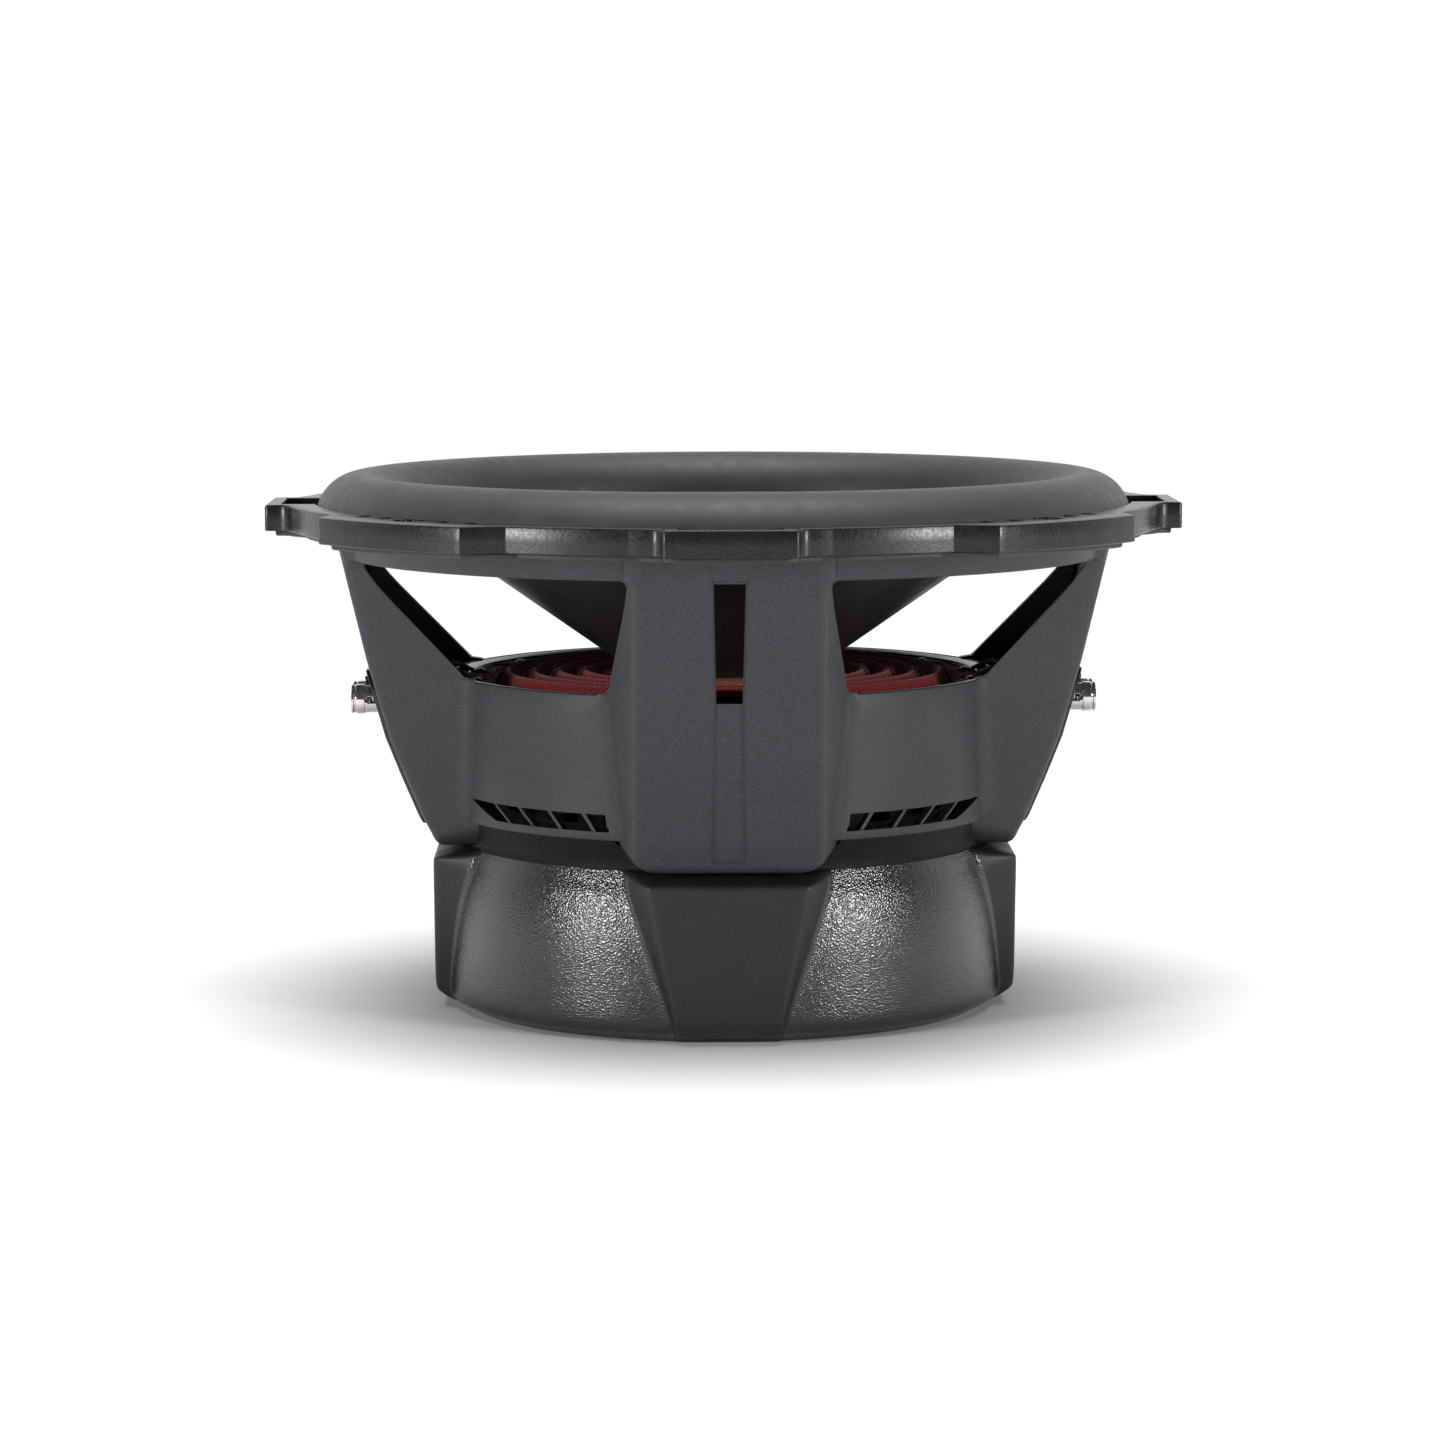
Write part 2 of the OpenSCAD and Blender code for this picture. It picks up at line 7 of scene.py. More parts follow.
import bmesh
import bpy
import numpy as np
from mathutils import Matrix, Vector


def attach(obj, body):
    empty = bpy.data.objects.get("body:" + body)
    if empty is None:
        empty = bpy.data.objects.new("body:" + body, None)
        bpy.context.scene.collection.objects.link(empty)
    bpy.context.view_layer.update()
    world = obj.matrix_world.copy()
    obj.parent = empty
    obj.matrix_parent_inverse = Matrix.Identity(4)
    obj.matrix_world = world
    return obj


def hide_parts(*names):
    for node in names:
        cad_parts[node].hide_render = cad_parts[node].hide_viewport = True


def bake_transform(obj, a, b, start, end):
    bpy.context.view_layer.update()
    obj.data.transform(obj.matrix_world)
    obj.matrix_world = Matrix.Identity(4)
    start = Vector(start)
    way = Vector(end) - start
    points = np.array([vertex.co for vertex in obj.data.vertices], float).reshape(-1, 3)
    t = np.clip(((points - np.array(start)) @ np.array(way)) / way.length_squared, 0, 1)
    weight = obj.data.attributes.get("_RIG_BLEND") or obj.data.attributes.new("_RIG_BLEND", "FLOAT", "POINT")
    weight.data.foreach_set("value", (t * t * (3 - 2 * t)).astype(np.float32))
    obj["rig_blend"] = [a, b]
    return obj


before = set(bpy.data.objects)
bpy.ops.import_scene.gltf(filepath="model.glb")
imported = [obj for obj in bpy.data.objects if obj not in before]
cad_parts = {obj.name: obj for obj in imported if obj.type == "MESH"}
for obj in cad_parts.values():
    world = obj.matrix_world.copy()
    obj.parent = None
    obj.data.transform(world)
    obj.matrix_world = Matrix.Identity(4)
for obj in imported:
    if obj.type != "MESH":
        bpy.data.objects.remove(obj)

MM = 0.001
TAU = 2.0 * math.pi
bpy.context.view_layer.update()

# ---------------------------------------------------------------- camera

EYE = (-0.02689, -1.69110, 0.28540)
EYE_TURN = math.atan2(-EYE[0], -EYE[1])
EYE_PITCH = math.radians(6.26)
EYE_ROLL = 0.0022
EYE_LENS = 117.96


def make_camera():
    """Camera on a tripod in front, a little above the driver, aimed at its axis."""
    data = bpy.data.cameras.new("front_camera")
    data.lens = EYE_LENS
    data.sensor_width = 36.0
    data.clip_end = 200.0
    camera = bpy.data.objects.new("front_camera", data)
    bpy.context.scene.collection.objects.link(camera)
    camera.location = EYE
    camera.rotation_mode = "XYZ"
    camera.rotation_euler = (math.pi / 2 - EYE_PITCH, EYE_ROLL, -EYE_TURN)
    bpy.context.scene.camera = camera


make_camera()

# ---------------------------------------------------------------- shape helpers


def rounded(points, cuts, parts=4, closed=True):
    """Outline with each corner turned into a short curve.

    A corner P gives way to the curve (1-t)^2 S + 2t(1-t) P + t^2 E, where S and E lie
    on its two sides at the cut length from P, and never past the middle of a side.
    """
    points = np.asarray(points, float)
    before = np.roll(points, 1, 0) - points
    after = np.roll(points, -1, 0) - points
    cuts = np.broadcast_to(np.asarray(cuts, float), (len(points),)).copy()
    if not closed:
        cuts[0] = cuts[-1] = 0.0
    reach_b = np.linalg.norm(before, axis=1)
    reach_a = np.linalg.norm(after, axis=1)
    cut_b = np.minimum(cuts, 0.49 * reach_b) / np.maximum(reach_b, 1e-9)
    cut_a = np.minimum(cuts, 0.49 * reach_a) / np.maximum(reach_a, 1e-9)
    start = points + before * cut_b[:, None]
    end = points + after * cut_a[:, None]
    t = np.linspace(0.0, 1.0, parts + 1)[None, :, None]
    curve = (1 - t) ** 2 * start[:, None] + 2 * t * (1 - t) * points[:, None] + t ** 2 * end[:, None]
    flat = curve.reshape(-1, points.shape[1])
    keep = np.ones(len(flat), bool)
    keep[1:] = np.linalg.norm(np.diff(flat, axis=0), axis=1) > 1e-5
    if closed and np.linalg.norm(flat[0] - flat[-1]) < 1e-5:
        keep[-1] = False
    return flat[keep]


def arc(centre, radius, start, end, count):
    """Points at radius from centre, from angle start to angle end in degrees."""
    angle = np.radians(np.linspace(start, end, count))
    return np.stack([centre[0] + radius * np.cos(angle), centre[1] + radius * np.sin(angle)], 1)


def spun(profile, turns=192):
    """Grid of points: row i is profile point (radius, height) i turned round +Z."""
    profile = np.asarray(profile, float)
    angle = np.arange(turns) * TAU / turns
    radius = profile[:, 0][:, None]
    height = np.broadcast_to(profile[:, 1][:, None], (len(profile), turns))
    return np.stack([radius * np.cos(angle), radius * np.sin(angle), height], -1)


def quads(rows, cols, close_rows=False, close_cols=False):
    """Corner numbers of the cells of a grid whose point (i, j) has number i * cols + j."""
    i = np.arange(rows if close_rows else rows - 1)
    j = np.arange(cols if close_cols else cols - 1)
    i, j = np.meshgrid(i, j, indexing="ij")
    i2, j2 = (i + 1) % rows, (j + 1) % cols
    cells = np.stack([i * cols + j, i * cols + j2, i2 * cols + j2, i2 * cols + j], -1)
    return cells.reshape(-1, 4)


class Form:
    """Closed surfaces gathered for one piece: points, four-cornered faces, finish numbers."""

    def __init__(self):
        self.points = []
        self.faces = []
        self.finish = []
        self.uv = []
        self.count = 0

    def add(self, points, faces, finish=0, uv=None):
        """Adds one closed surface, turned so that the volume inside it is positive."""
        points = np.asarray(points, float).reshape(-1, 3)
        finish = np.broadcast_to(np.asarray(finish), (len(faces),)).copy()
        a, b, c, d = (points[faces[:, k]] for k in range(4))
        volume = np.sum(np.cross(a, b) * c) + np.sum(np.cross(a, c) * d)
        if volume < 0:
            faces = faces[:, ::-1]
        self.points.append(points)
        self.faces.append(faces + self.count)
        self.finish.append(finish)
        self.uv.append(np.zeros((len(points), 2)) if uv is None else uv.reshape(-1, 2))
        self.count += len(points)
        return self

    def ring(self, profile, turns=192, finish=0):
        """Adds a closed profile of (radius, height) turned round the axis."""
        grid = spun(profile, turns)
        return self.add(grid, quads(*grid.shape[:2], True, True), finish)

    def shell(self, outer, inner, keep, closed, finish_in=0, finish_edge=0):
        """Adds a wall between two grids with the same layout, where keep marks its cells.

        Outer cells, inner cells turned over, and a strip on each side of a kept cell that
        has no kept neighbour there.
        """
        rows, cols = outer.shape[:2]
        cells = quads(rows, cols, False, closed)
        wide = cols if closed else cols - 1
        keep = np.asarray(keep, bool).reshape(rows - 1, wide)
        size = rows * cols
        kept = cells[keep.ravel()]
        parts = [kept, kept[:, ::-1] + size]
        marks = [0, finish_in]
        padded = np.pad(keep, ((1, 1), (0, 0)))
        left = np.roll(keep, 1, 1) if closed else np.pad(keep, ((0, 0), (1, 0)))[:, :-1]
        right = np.roll(keep, -1, 1) if closed else np.pad(keep, ((0, 0), (0, 1)))[:, 1:]
        sides = (
            (keep & ~padded[:-2], 0, 1),
            (keep & ~right, 1, 2),
            (keep & ~padded[2:], 2, 3),
            (keep & ~left, 3, 0),
        )
        for bare, p, q in sides:
            edge = cells[bare.ravel()]
            parts.append(np.stack([edge[:, q], edge[:, p], edge[:, p] + size, edge[:, q] + size], 1))
            marks.append(finish_edge)
        faces = np.concatenate(parts)
        finish = np.concatenate([np.full(len(p), m) for p, m in zip(parts, marks)])
        both = np.concatenate([outer.reshape(-1, 3), inner.reshape(-1, 3)])
        return self.add(both, faces, finish)

    def turned(self, degrees):
        """Copy of these surfaces turned round +Z."""
        c, s = math.cos(math.radians(degrees)), math.sin(math.radians(degrees))
        copy = Form()
        turn = np.array([[c, s, 0], [-s, c, 0], [0, 0, 1]])
        copy.points = [p @ turn for p in self.points]
        copy.faces, copy.finish, copy.uv, copy.count = self.faces, self.finish, self.uv, self.count
        return copy

    def join(self, other):
        """Takes in the surfaces of another form."""
        self.points += other.points
        self.faces += [f + self.count for f in other.faces]
        self.finish += other.finish
        self.uv += other.uv
        self.count += other.count
        return self


def tube_grid(path, radius, sides=10):
    """Grid round a path: ring i is p + r (cos a u + sin a v), u and v square to the path."""
    path = np.asarray(path, float)
    along = np.gradient(path, axis=0)
    along /= np.linalg.norm(along, axis=1)[:, None]
    helper = np.array([0.03, 1.0, 0.02]) / np.linalg.norm([0.03, 1.0, 0.02])
    u = np.cross(along, helper)
    u /= np.linalg.norm(u, axis=1)[:, None]
    v = np.cross(along, u)
    angle = np.arange(sides) * TAU / sides
    radius = np.broadcast_to(np.asarray(radius, float), (len(path),))
    spread = np.cos(angle)[None, :, None] * u[:, None] + np.sin(angle)[None, :, None] * v[:, None]
    return path[:, None] + radius[:, None, None] * spread


def smooth_route(points, parts=8):
    """Catmull-Rom curve through the points, the same as the CAD model's own route."""
    p = np.asarray(points, float)
    a = p[np.maximum(np.arange(len(p) - 1) - 1, 0)]
    b, c = p[:-1], p[1:]
    d = p[np.minimum(np.arange(len(p) - 1) + 2, len(p) - 1)]
    u = (np.arange(parts) / parts)[None, :, None]
    a, b, c, d = (x[:, None] for x in (a, b, c, d))
    curve = 2 * b + (c - a) * u + (2 * a - 5 * b + 4 * c - d) * u ** 2
    curve = 0.5 * (curve + (3 * b - a - 3 * c + d) * u ** 3)
    return np.concatenate([curve.reshape(-1, 3), p[-1:]])


def tube_form(form, path, radius, sides=10):
    """Adds a tube along a path, with both ends closed to a point, and a UV of turns and length."""
    grid = tube_grid(path, radius, sides)
    ends = np.broadcast_to(np.asarray(path, float)[[0, -1], None], (2, sides, 3))
    grid = np.concatenate([ends[:1], grid, ends[1:]])
    length = np.concatenate([[0.0], np.cumsum(np.linalg.norm(np.diff(path, axis=0), axis=1))])
    length = np.concatenate([length[:1], length, length[-1:]])
    turn = np.arange(sides) / sides
    uv = np.stack(np.broadcast_arrays(turn[None, :], length[:, None] * MM), -1)
    return form.add(grid, quads(len(grid), sides, False, True), 0, uv)


def make_piece(name, form, finishes, body, replaces=(), sharp=32.0, bevel=None, edge_finish=-1):
    """Mesh object in metres from a form, with merged seams, its finishes and body; the CAD parts it replaces
    are hidden.
    """
    mesh = bpy.data.meshes.new(name)
    points = np.concatenate(form.points) * MM
    faces = np.concatenate(form.faces)
    mesh.vertices.add(len(points))
    mesh.vertices.foreach_set("co", points.astype(np.float32).ravel())
    mesh.loops.add(faces.size)
    mesh.loops.foreach_set("vertex_index", faces.astype(np.int32).ravel())
    mesh.polygons.add(len(faces))
    mesh.polygons.foreach_set("loop_start", np.arange(0, faces.size, 4, dtype=np.int32))
    mesh.polygons.foreach_set("material_index", np.concatenate(form.finish).astype(np.int32))
    layer = mesh.uv_layers.new(name="surface")
    layer.data.foreach_set("uv", np.concatenate(form.uv)[faces.ravel()].astype(np.float32).ravel())
    mesh.update(calc_edges=True)
    build = bmesh.new()
    build.from_mesh(mesh)
    bmesh.ops.remove_doubles(build, verts=build.verts, dist=2e-7)
    bmesh.ops.dissolve_degenerate(build, edges=build.edges, dist=1e-8)
    build.to_mesh(mesh)
    build.free()
    mesh.shade_smooth()
    mesh.set_sharp_from_angle(angle=math.radians(sharp))
    for finish in finishes:
        mesh.materials.append(finish)
    made = bpy.data.objects.new(name, mesh)
    bpy.context.scene.collection.objects.link(made)
    if bevel:
        edge = made.modifiers.new("edges", "BEVEL")
        edge.width = bevel * MM
        edge.segments = 2
        edge.limit_method = "ANGLE"
        edge.angle_limit = math.radians(40.0)
        edge.harden_normals = True
        edge.use_clamp_overlap = True
        edge.material = edge_finish
    if body:
        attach(made, body)
    if replaces:
        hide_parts(*replaces)
    return made


# ---------------------------------------------------------------- finishes


class Finish:
    """Procedural material: constants sit on the shader's own sockets, patterns come in by nodes."""

    def __init__(self, name, colour, roughness, metallic=0.0, specular=0.5, coat=0.0, coat_rough=0.1,
                 sheen=0.0):
        self.material = bpy.data.materials.new(name)
        self.material.use_nodes = True
        self.material.diffuse_color = (*colour, 1.0)
        self.tree = self.material.node_tree
        self.shader = self.tree.nodes["Principled BSDF"]
        self.colour = colour
        self.roughness = roughness
        put = self.shader.inputs
        put["Base Color"].default_value = (*colour, 1.0)
        put["Roughness"].default_value = roughness
        put["Metallic"].default_value = metallic
        put["Specular IOR Level"].default_value = specular
        put["Coat Weight"].default_value = coat
        put["Coat Roughness"].default_value = coat_rough
        put["Sheen Weight"].default_value = sheen
        self.place = self.tree.nodes.new("ShaderNodeTexCoord").outputs["Object"]
        self.normal = None

    def node(self, kind, **links):
        """New node with its inputs linked or set; an input is named with _ for a space."""
        made = self.tree.nodes.new(kind)
        for name, value in links.items():
            socket = made.inputs[int(name[1:]) if name[0] == "i" and name[1:].isdigit()
                                 else name.replace("_", " ")]
            if isinstance(value, bpy.types.NodeSocket):
                self.tree.links.new(value, socket)
            else:
                socket.default_value = value
        return made

    def stretched(self, scale):
        """Object coordinates scaled by a different amount along each axis."""
        return self.node("ShaderNodeMapping", Vector=self.place, Scale=scale).outputs[0]

    def on_uv(self, scale):
        """The piece's own surface coordinates, scaled."""
        uv = self.node("ShaderNodeUVMap")
        uv.uv_map = "surface"
        return self.node("ShaderNodeMapping", Vector=uv.outputs[0], Scale=scale).outputs[0]

    def noise(self, scale, detail=3.0, roughness=0.55, where=None):
        """Cloudy noise from 0 to 1, with scale in cells per metre."""
        where = where or self.place
        return self.node("ShaderNodeTexNoise", Vector=where, Scale=scale, Detail=detail,
                         Roughness=roughness).outputs["Fac"]

    def cells(self, scale, feature="F1", smooth=0.6, where=None):
        """Distance to the nearest of scattered points, which reads as pebbles."""
        where = where or self.place
        made = self.tree.nodes.new("ShaderNodeTexVoronoi")
        made.feature = feature
        self.tree.links.new(where, made.inputs["Vector"])
        made.inputs["Scale"].default_value = scale
        if feature == "SMOOTH_F1":
            made.inputs["Smoothness"].default_value = smooth
        return made.outputs["Distance"]

    def bands(self, scale, direction, where=None, distortion=0.0):
        """Straight sine bands along one axis, with scale in bands per metre."""
        where = where or self.place
        made = self.tree.nodes.new("ShaderNodeTexWave")
        made.bands_direction = direction
        self.tree.links.new(where, made.inputs["Vector"])
        made.inputs["Scale"].default_value = scale / 20.0 * TAU
        made.inputs["Distortion"].default_value = distortion
        return made.outputs["Fac"]

    def sum(self, kind, a, b):
        """One arithmetic step on two values."""
        made = self.node("ShaderNodeMath", i0=a, i1=b)
        made.operation = kind
        return made.outputs[0]

    def spread(self, value, low, high, to_low, to_high):
        """A value taken from one range to another, and held inside it."""
        return self.node("ShaderNodeMapRange", Value=value, From_Min=low, From_Max=high,
                         To_Min=to_low, To_Max=to_high).outputs[0]

    def tint(self, value, dark, light, low=0.3, high=0.7):
        """Base colour that runs from dark to light with the value."""
        ramp = self.node("ShaderNodeValToRGB", Fac=value)
        ramp.color_ramp.elements[0].position = low
        ramp.color_ramp.elements[0].color = (*dark, 1.0)
        ramp.color_ramp.elements[1].position = high
        ramp.color_ramp.elements[1].color = (*light, 1.0)
        self.tree.links.new(ramp.outputs[0], self.shader.inputs["Base Color"])
        return self

    def wear(self, value, low, high, rough_low, rough_high):
        """Roughness that runs between two values with the pattern."""
        out = self.spread(value, low, high, rough_low, rough_high)
        self.tree.links.new(out, self.shader.inputs["Roughness"])
        return self

    def bump(self, height, depth, strength=1.0):
        """Relief of a given depth in millimetres, on top of any relief put in before."""
        made = self.node("ShaderNodeBump", Height=height, Strength=strength, Distance=depth * MM)
        if self.normal:
            self.tree.links.new(self.normal, made.inputs["Normal"])
        self.normal = made.outputs[0]
        self.tree.links.new(self.normal, self.shader.inputs["Normal"])
        return self


def grey(value, warm=0.0):
    """Linear grey, a touch warm or cool."""
    return (value * (1 + 0.4 * warm), value, value * (1 - 1.9 * warm))


def cast_coat(name, level, light):
    """Sandy powder coat on cast aluminium."""
    f = Finish(name, grey(level, -0.07), 0.5, specular=0.34)
    sand = f.noise(2600.0, 2.0, 0.6)
    cloud = f.noise(35.0, 3.0)
    f.tint(sand, grey(level * 0.74, -0.07), grey(light, -0.08), 0.36, 0.74)
    f.wear(cloud, 0.3, 0.7, 0.44, 0.56)
    f.bump(sand, 0.07, 0.5)
    f.bump(f.noise(420.0, 2.0), 0.06, 0.3)
    return f.material


def ring_plastic():
    """Moulded black plastic with a fine satin grain."""
    f = Finish("ring_plastic", grey(0.008), 0.3, specular=0.45)
    grain = f.noise(900.0, 3.0, 0.6)
    f.tint(f.noise(160.0, 3.0), grey(0.006), grey(0.011), 0.3, 0.7)
    f.wear(grain, 0.3, 0.75, 0.22, 0.38)
    f.bump(grain, 0.12, 0.5)
    return f.material


def surround_rubber():
    """Satin moulded rubber."""
    f = Finish("surround_rubber", grey(0.032, -0.03), 0.5, specular=0.4, sheen=0.06)
    f.tint(f.noise(60.0, 4.0), grey(0.028, -0.03), grey(0.037, -0.03), 0.3, 0.7)
    f.wear(f.noise(240.0, 3.0), 0.3, 0.7, 0.46, 0.6)
    f.bump(f.noise(2600.0, 2.0), 0.03, 0.35)
    return f.material


def cone_skin():
    """Black pressed pulp with faint fibres."""
    f = Finish("cone_skin", grey(0.014), 0.46, specular=0.45)
    fibre = f.noise(700.0, 4.0, 0.7, f.stretched((1.0, 1.0, 0.4)))
    f.tint(fibre, grey(0.010), grey(0.020), 0.35, 0.7)
    f.wear(f.noise(90.0), 0.3, 0.7, 0.38, 0.54)
    f.bump(fibre, 0.06, 0.5)
    return f.material


def cap_skin():
    """Satin moulded dust cap."""
    f = Finish("cap_skin", grey(0.016), 0.36, specular=0.5)
    f.tint(f.noise(45.0, 4.0), grey(0.013), grey(0.020), 0.3, 0.7)
    f.wear(f.noise(500.0), 0.3, 0.7, 0.3, 0.42)
    f.bump(f.noise(1600.0, 2.0), 0.03, 0.4)
    return f.material


def spider_cloth():
    """Red cotton weave: two sets of square threads that pass over each other."""
    f = Finish("spider_cloth", (0.30, 0.016, 0.016), 0.8, specular=0.25, sheen=0.3)
    pitch = 1100.0
    over = f.bands(pitch, "X", distortion=0.15)
    under = f.bands(pitch, "Y", distortion=0.15)
    weave = f.sum("MULTIPLY", over, under)
    fuzz = f.noise(2400.0, 3.0)
    f.tint(f.sum("MULTIPLY", weave, f.spread(fuzz, 0.2, 0.8, 0.6, 1.25)),
           (0.10, 0.004, 0.005), (0.66, 0.034, 0.030), 0.05, 0.8)
    f.bump(weave, 0.3, 0.8)
    f.bump(fuzz, 0.08, 0.5)
    return f.material


def gloss_black(name="gloss_black", rough=0.12):
    """Injection moulded gloss black."""
    f = Finish(name, grey(0.006), rough, specular=0.55)
    f.tint(f.noise(120.0), grey(0.005), grey(0.008), 0.3, 0.7)
    f.wear(f.noise(70.0, 4.0), 0.3, 0.7, rough * 0.7, rough * 1.6)
    f.bump(f.noise(260.0, 2.0), 0.03, 0.25)
    return f.material


def boot_rubber(name="boot_rubber", relief=0.26, rough=0.18, gloss=0.85):
    """Moulded rubber with a hide grain, glossy on its high spots."""
    f = Finish(name, grey(0.007, -0.08), rough, specular=gloss)
    warp = f.noise(600.0, 2.0)
    hide = f.cells(1500.0, "SMOOTH_F1", 0.5)
    fine = f.noise(1700.0, 3.0, 0.6)
    pebbles = f.sum("ADD", f.sum("MULTIPLY", hide, 0.9), f.sum("MULTIPLY", warp, 0.22))
    f.tint(warp, grey(0.005, -0.08), grey(0.009, -0.08), 0.3, 0.7)
    f.wear(fine, 0.3, 0.72, rough * 0.7, rough * 1.35)
    f.bump(pebbles, relief, 0.6)
    f.bump(fine, 0.08, 0.5)
    return f.material


def pad_rubber():
    """The boot's flat pads: the same rubber with a finer, duller grain."""
    f = Finish("pad_rubber", grey(0.012, -0.06), 0.46, specular=0.42)
    fine = f.noise(1500.0, 3.0, 0.6)
    f.tint(fine, grey(0.009, -0.06), grey(0.019, -0.06), 0.35, 0.7)
    f.wear(f.noise(60.0), 0.3, 0.7, 0.42, 0.56)
    f.bump(fine, 0.1, 0.5)
    return f.material


def metal(name, colour, dark, rough, scale=(1.0, 1.0, 1.0), grain=900.0, depth=0.02):
    """Bare or plated metal with fine tool marks and a little tarnish."""
    f = Finish(name, colour, rough, metallic=1.0)
    marks = f.noise(grain, 4.0, 0.6, f.stretched(scale))
    f.tint(f.noise(150.0, 3.0), dark, colour, 0.28, 0.6)
    f.wear(marks, 0.3, 0.7, rough * 0.7, rough * 1.45)
    f.bump(marks, depth, 0.4)
    return f.material


def ferrite():
    """Pressed ferrite with a dull mineral face and fine pits."""
    f = Finish("ferrite", grey(0.028), 0.62, specular=0.4)
    pits = f.cells(900.0)
    f.tint(f.noise(700.0, 4.0), grey(0.018), grey(0.040), 0.3, 0.75)
    f.bump(pits, 0.05, 0.4)
    f.bump(f.noise(300.0), 0.08, 0.4)
    return f.material


def copper_wire():
    """Coil of enamelled round wire, one turn above the other."""
    f = Finish("copper_wire", (0.55, 0.17, 0.06), 0.28, metallic=1.0)
    turns = f.bands(1250.0, "Z")
    f.tint(turns, (0.16, 0.04, 0.015), (0.62, 0.22, 0.09), 0.1, 0.7)
    f.bump(turns, 0.35, 0.9)
    return f.material


def former_foil():
    """Amber film on the coil former, with a faint wound seam."""
    f = Finish("former_foil", (0.10, 0.05, 0.02), 0.35, specular=0.5, coat=0.3)
    f.tint(f.noise(80.0, 3.0), (0.08, 0.04, 0.015), (0.13, 0.07, 0.03), 0.3, 0.7)
    f.bump(f.bands(160.0, "Z", distortion=0.5), 0.04, 0.3)
    return f.material


def collar_paper():
    """Dark paper band glued round the former."""
    f = Finish("collar_paper", grey(0.03, 0.1), 0.8, specular=0.2)
    fibre = f.noise(1200.0, 5.0, 0.7)
    f.tint(fibre, grey(0.018, 0.1), grey(0.045, 0.1), 0.3, 0.7)
    f.bump(fibre, 0.06, 0.6)
    return f.material


def tinsel_braid():
    """Braided lead with red cotton: two sets of slanted strands that cross on the tube's surface."""
    f = Finish("tinsel_braid", (0.20, 0.02, 0.015), 0.5, metallic=0.2)
    right = f.bands(1.0, "DIAGONAL", f.on_uv((60.0, 14000.0, 1.0)))
    left = f.bands(1.0, "DIAGONAL", f.on_uv((-60.0, 14000.0, 1.0)))
    braid = f.sum("MAXIMUM", right, left)
    f.tint(braid, (0.08, 0.006, 0.005), (0.28, 0.03, 0.022), 0.3, 0.9)
    f.bump(braid, 0.12, 0.8)
    return f.material


def wire_sleeve():
    """Soft black insulation on the lead wires."""
    f = Finish("wire_sleeve", grey(0.010), 0.45, specular=0.45)
    f.tint(f.noise(400.0), grey(0.008), grey(0.014), 0.3, 0.7)
    f.bump(f.noise(1500.0), 0.03, 0.4)
    return f.material


COAT = cast_coat("powder_coat", 0.026, 0.056)
# Painted shade: a much darker copy of the same powder coat, for the casting's inner faces, vent and slot
# walls, floor and spider shelf, standing in for the shade inside the basket.
PAINTED_SHADE_COAT = cast_coat("powder_coat_painted_shade", 0.006, 0.013)
RING = ring_plastic()
RUBBER = surround_rubber()
CONE = cone_skin()
CAP = cap_skin()
CLOTH = spider_cloth()
GLOSS = gloss_black()
PLATE_BLACK = gloss_black("plate_black", 0.14)
BOOT = boot_rubber()
COLLAR = boot_rubber("boot_collar", 0.05, 0.55, 0.12)
PAD = pad_rubber()
NICKEL = metal("nickel", (0.74, 0.71, 0.70), (0.54, 0.51, 0.50), 0.14, (1.0, 0.2, 0.2))
SPRING = metal("spring_steel", (0.55, 0.55, 0.56), (0.36, 0.36, 0.37), 0.25)
BRASS = metal("lug_brass", (0.50, 0.42, 0.30), (0.30, 0.25, 0.17), 0.25)
STEEL = metal("motor_steel", (0.33, 0.33, 0.34), (0.20, 0.20, 0.21), 0.38, (1.0, 1.0, 6.0))
COPPER_CAP = metal("copper_cap", (0.85, 0.40, 0.22), (0.50, 0.20, 0.10), 0.25)
ALUMINIUM = metal("bare_aluminium", (0.80, 0.80, 0.81), (0.60, 0.60, 0.61), 0.28)
SCREW = metal("black_screws", (0.05, 0.05, 0.052), (0.03, 0.03, 0.031), 0.35)
FERRITE = ferrite()
WIRE_COPPER = copper_wire()
FORMER = former_foil()
PAPER = collar_paper()
BRAID = tinsel_braid()
SLEEVE_PVC = wire_sleeve()

for names, finish in (
    (("top_plate", "t_yoke"), STEEL),
    (("upper_magnet", "lower_magnet"), FERRITE),
    (("pole_cap",), COPPER_CAP),
    (("shorting_ring",), ALUMINIUM),
    (("motor_screws", "terminal_screws"), SCREW),
    (("upper_winding", "lower_winding"), WIRE_COPPER),
    (("coil_former",), FORMER),
    (("coil_collar",), PAPER),
    (("solder_lugs",), BRASS),
    (("post_left_front", "post_left_rear", "post_right_front", "post_right_rear"), NICKEL),
):
    for node_name in names:
        node_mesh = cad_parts[node_name].data
        node_mesh.materials.clear()
        node_mesh.materials.append(finish)


# ---------------------------------------------------------------- basket casting

# Outer face of a spoke, as height and distance from the axis, from its foot to the rim
SPOKE_Z = (58.8, 59.1, 60.3, 62.2, 68.5, 82.5, 97.0, 125.1, 161.0, 168.9)
SPOKE_X = (96.0, 98.8, 101.0, 102.8, 106.2, 112.2, 118.0, 126.1, 134.7, 136.6)
# Inner slanted edge of a spoke above the drum
EDGE_Z = (119.6, 122.1, 150.5, 158.9, 161.0, 168.8)
EDGE_X = (91.2, 93.3, 120.6, 126.9, 127.2, 127.2)
# Lower outline of a spoke seen square on, as height and half width
FOOT_Z = (58.8, 59.1, 60.0, 61.6, 64.0, 69.2, 70.4)
FOOT_Y = (20.0, 24.0, 27.4, 30.6, 33.6, 39.4, 60.0)
SPOKE_HALF = 32.0
FLANK = 0.265
WALL = 4.0
DRUM_R = 98.0
DRUM_LOW = 69.0
DRUM_TOP = 119.2
SLOT_LOW, SLOT_HIGH = 119.6, 160.4
RIM_LOW = 161.0
FLANGE_LOW = 168.9
FLANGE_TOP = 170.8


